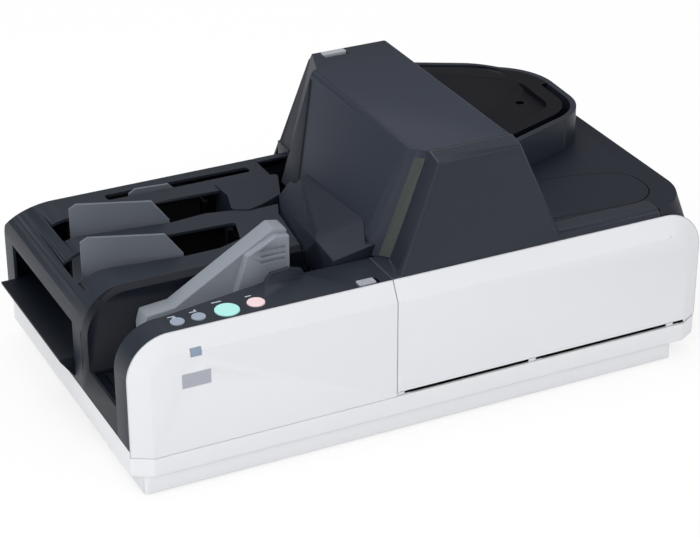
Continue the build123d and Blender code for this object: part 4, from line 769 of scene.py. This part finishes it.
@dataclass
class Underside(SubAssembly):
    """Screws in the plinth and a bare rating plate."""

    title: str = "underside"

    def plan(self) -> None:
        """Six case screws, each with a flat dark disc of painted shade for its counterbore and a dark bar of painted
        shade for its slot, and the plate, all above the feet's soles.
        """
        for number, (x, y) in enumerate(((-215.0, -100.0), (0.0, -100.0), (200.0, -100.0),
                                         (-215.0, 100.0), (0.0, 100.0), (200.0, 100.0)), 1):
            # dark disc and bar are painted shade of the counterbore and of the screw's slot
            self.pieces.append(Disc(f"case_screw_counterbore_painted_shade_{number}", (x, y, 1.9), 5.0, 0.15, "rubber_black"))
            self.pieces.append(Disc(f"case_screw_{number}", (x, y, 1.2), 3.2, 0.75, "bright_steel", soft_mm=0.25))
            self.pieces.append(Block(f"case_screw_slot_painted_shade_{number}", (x - 2.4, x + 2.4), (y - 0.35, y + 0.35),
                                     (1.15, 1.3), "rubber_black", soft_mm=0.0))
        self.pieces.append(Block("rating_plate", (-60.0, 10.0), (58.0, 92.0), (1.8, 2.05), "badge_silver"))


@dataclass
class RearDetails(SubAssembly):
    """Cooling slots drawn as black blocks of painted shade, and socket surrounds in the rear cover."""

    title: str = "rear details"

    def plan(self) -> None:
        """Ten black blocks as painted shade of slots over the motor's side, and a frame round the sockets' opening."""
        for number in range(10):
            x = 20.0 + 8.0 * number
            # each slot is a flat black block of painted shade, with no opening
            self.pieces.append(Block(f"vent_slot_painted_shade_{number + 1}", (x - 1.4, x + 1.4), (144.2, 145.0), (70.0, 94.0),
                                     "rubber_black", Body.REAR_COVER, soft_mm=0.3))
        for number, (x, z) in enumerate((((147.0, 150.0), (41.0, 58.0)), ((205.0, 208.0), (41.0, 58.0)),
                                         ((150.0, 205.0), (55.5, 58.0))), 1):
            self.pieces.append(Block(f"socket_frame_{number}", x, (144.3, 145.0), z, "dark_hood", Body.REAR_COVER))


@dataclass
class BoardParts(SubAssembly):
    """Chips and capacitors on the main board and under the buttons."""

    title: str = "board parts"

    def plan(self) -> None:
        """Parts that show when the covers are open or from below."""
        top = 33.1
        for number, (x, y, wide, deep) in enumerate(((-205.0, -36.0, 12.0, 8.0), (-172.0, -34.0, 9.0, 9.0),
                                                     (-138.0, -22.0, 10.0, 6.0), (-172.0, 12.0, 14.0, 8.0)), 1):
            self.pieces.append(Block(f"chip_{number}", (x, x + wide), (y, y + deep), (top, top + 1.6), "sensor_black"))
        for number in range(6):
            self.pieces.append(Disc(f"capacitor_{number + 1}", (-222.0 + 7.0 * number, -42.0, top), 2.2, 6.0,
                                    "motor_case", soft_mm=0.4))


@dataclass
class TrenchRibs(SubAssembly):
    """Fine runners on the plate that the cheques stand on."""

    title: str = "trench ribs"

    def plan(self) -> None:
        """Five runners along the trench, broken at the guide's slot."""
        for number in range(5):
            y = -87.0 + 6.2 * number
            for part, (low, high) in enumerate(((-234.0, -136.0), (-114.0, -70.0)), 1):
                self.pieces.append(Block(f"runner_{number + 1}_{part}", (low, high), (y - 0.5, y + 0.5), (60.9, 61.15),
                                         "hopper_grey"))


@dataclass
class CartridgeParts(SubAssembly):
    """Cap, grip and ribs of the endorser's ink cartridge."""

    title: str = "cartridge parts"

    def plan(self) -> None:
        """Pieces on top of the cartridge, under the lid."""
        self.pieces += [
            Block("cartridge_cap", (138.0, 168.0), (-100.0, -68.0), (132.4, 133.4), "button_grey", soft_mm=0.4),
            Block("cartridge_grip", (176.0, 190.0), (-92.0, -76.0), (132.4, 134.0), "cartridge_black", soft_mm=0.5),
        ]
        for number in range(3):
            y = -89.0 + 5.0 * number
            self.pieces.append(Block(f"cartridge_rib_{number + 1}", (177.0, 189.0), (y - 0.6, y + 0.6),
                                     (133.9, 134.6), "cartridge_black"))


# ================= studio =================
@dataclass
class Studio:
    """Camera at the photograph's angle, soft daylight and a pale floor."""

    yaw: float = 26.01
    pitch: float = 27.94
    roll: float = -0.11
    distance_m: float = 1.8477
    aim_right_m: float = 0.001
    aim_up_m: float = 0.0272
    lens_mm: float = 115.64
    floor_size_m: float = 12.0

    def build(self) -> None:
        """Sets up everything round the object."""
        self.camera()
        self.lamps()
        self.floor()
        self.world()
        bpy.context.scene.view_settings.view_transform = "Standard"

    def axes(self) -> tuple[Vector, Vector, Vector]:
        """Viewing direction, right and up of the camera."""
        yaw, pitch = math.radians(self.yaw), math.radians(self.pitch)
        forward = Vector((math.sin(yaw) * math.cos(pitch), math.cos(yaw) * math.cos(pitch), -math.sin(pitch)))
        right = Vector((math.cos(yaw), -math.sin(yaw), 0))
        return forward, right, right.cross(forward)

    def camera(self) -> None:
        """Adds the camera."""
        forward, right, up = self.axes()
        target = at(0, 0, 100)
        place = target - forward * self.distance_m - right * self.aim_right_m - up * self.aim_up_m
        data = bpy.data.cameras.new("photo_camera")
        data.lens = self.lens_mm
        data.sensor_width = 36.0
        data.clip_start, data.clip_end = 0.01, 50.0
        camera = bpy.data.objects.new("photo_camera", data)
        turn = Matrix((right, up, -forward)).transposed() @ Matrix.Rotation(math.radians(self.roll), 3, "Z")
        camera.matrix_world = Matrix.Translation(place) @ turn.to_4x4()
        bpy.context.scene.collection.objects.link(camera)
        bpy.context.scene.camera = camera

    def lamps(self) -> None:
        """Adds a broad key light overhead, one from the left end and a wide fill from the front."""
        for name, place, size, power in (("key", (-0.7, -1.0, 2.0), 1.8, 12.0),
                                         ("left", (-1.9, -0.8, 0.45), 0.7, 6.5),
                                         ("fill", (1.2, -1.8, 0.9), 1.8, 4.0),
                                         ("top", (0.1, 0.7, 2.2), 1.6, 9.0)):
            data = bpy.data.lights.new(name, "AREA")
            data.energy = power
            data.size = size
            lamp = bpy.data.objects.new(name, data)
            lamp.location = place
            aim = Vector((0.0, 0.0, 0.08)) - Vector(place)
            lamp.rotation_euler = aim.to_track_quat("-Z", "Y").to_euler()
            bpy.context.scene.collection.objects.link(lamp)

    def floor(self) -> None:
        """Adds the pale floor; the camera sees it nearly white, with a faint shadow."""
        bpy.ops.mesh.primitive_plane_add(size=self.floor_size_m, location=(0, 0, 0))
        floor = bpy.context.object
        floor.name = "floor"
        material, tree, shader = fresh_material("pale_floor")
        shader.inputs["Base Color"].default_value = linear("#F2F2F2")
        shader.inputs["Roughness"].default_value = 0.9
        path = add_node(tree, "ShaderNodeLightPath")
        share = add_node(tree, "ShaderNodeMath", {"operation": "MULTIPLY", 1: 0.7}, {0: path.outputs["Is Camera Ray"]})
        glow = add_node(tree, "ShaderNodeEmission", {"Color": (1.0, 1.0, 1.0, 1.0), "Strength": 1.06})
        mixed = add_node(tree, "ShaderNodeMixShader", {},
                         {0: share.outputs[0], 1: shader.outputs["BSDF"], 2: glow.outputs["Emission"]})
        add_node(tree, "ShaderNodeOutputMaterial", {"is_active_output": True}, {"Surface": mixed.outputs[0]})
        floor.data.materials.append(material)

    def world(self) -> None:
        """Pale surroundings: white to the camera, dimmer as light, and darker towards the horizon in reflections."""
        world = bpy.data.worlds.new("studio")
        world.use_nodes = True
        tree = world.node_tree
        tree.nodes.clear()
        path = add_node(tree, "ShaderNodeLightPath")
        way = add_node(tree, "ShaderNodeTexCoord")
        axes = add_node(tree, "ShaderNodeSeparateXYZ", {}, {0: way.outputs["Generated"]})
        mirrored = add_node(tree, "ShaderNodeMapRange",
                            {"From Min": 0.0, "From Max": 0.8, "To Min": 0.08, "To Max": 0.5},
                            {"Value": axes.outputs["Z"]})
        lit = add_node(tree, "ShaderNodeMapRange", {"To Min": 0.68},
                       {"Value": path.outputs["Is Glossy Ray"], "To Max": mirrored.outputs["Result"]})
        strength = add_node(tree, "ShaderNodeMath", {"operation": "MAXIMUM"},
                            {0: path.outputs["Is Camera Ray"], 1: lit.outputs["Result"]})
        light = add_node(tree, "ShaderNodeBackground", {"Color": (1.0, 1.0, 1.0, 1.0)},
                         {"Strength": strength.outputs[0]})
        out = add_node(tree, "ShaderNodeOutputWorld", {}, {"Surface": light.outputs[0]})
        log.info("world built with %s", out.name)
        bpy.context.scene.world = world


REAR_CORNER = Block("rear_corner_cut", (-36.0, -4.3), (124.4, 176.4), (102.9, 142.9), "dark_shell", lean=-46.1)


def main() -> None:
    """Builds the scanner's looks in order."""
    rounded = [
        CarriedShell("front_left_cover", "white_shell", "root", 2.5, 8.0),
        CarriedShell("front_panel", "white_shell", "front_cover", 2.5, 8.0),
        CarriedShell("base_tray", "base_white", "root", 1.5, 8.0),
        CarriedShell("control_panel", "dark_shell", "root", 1.2),
        # hopper tray and sorter lip take the trench finish: their charcoal darkened as painted shade of the recess
        CarriedShell("hopper_tray", "dark_shell", "root", 1.2, finish="trench_painted_shade"),
        CarriedShell("document_guide", "guide_grey", "document_guide", 1.2),
        CarriedShell("pocket_cover", "dark_shell", "root", 1.4),
        CarriedShell("sorter_lip", "dark_shell", "root", 0.6, finish="trench_painted_shade"),
        CarriedShell("diverter_housing", "dark_hood", "root", 1.2, finish="dark_housing"),
        CarriedShell("hood_ramp", "dark_shell", "root", 1.5, 5.0, 14.0, finish="dark_ramp"),
        CarriedShell("hood_shell", "dark_hood", "root", 1.5),
        CarriedShell("front_cap", "dark_hood", "front_cover", 1.2, 6.0, 18.0, finish="dark_cap"),
        CarriedShell("rear_cover", "dark_hood", "rear_cover", 2.5, 8.0, 20.0, finish="dark_rear",
                     cuts=(REAR_CORNER,)),
        CarriedShell("right_deck", "dark_shell", "root", 2.0, finish="dark_deck"),
        CarriedShell("access_lid", "dark_shell", "access_lid", 0.4, finish="dark_deck", shrink_mm=0.45),
        CarriedShell("loop_guide", "dark_shell", "root", 1.0),
        CarriedShell("loop_island", "dark_shell", "root", 1.0, 5.0, 12.0, finish="dark_island"),
    ]
    for shell in rounded:
        shell.build()
    dress_frame({shell.node for shell in rounded})
    for group in (PanelMarks(), LatchGrips(), HoodTrim(), Underside(), RearDetails(), BoardParts(), TrenchRibs(), CartridgeParts()):
        group.build()
    Studio().build()


if __name__ == "__main__":
    main()
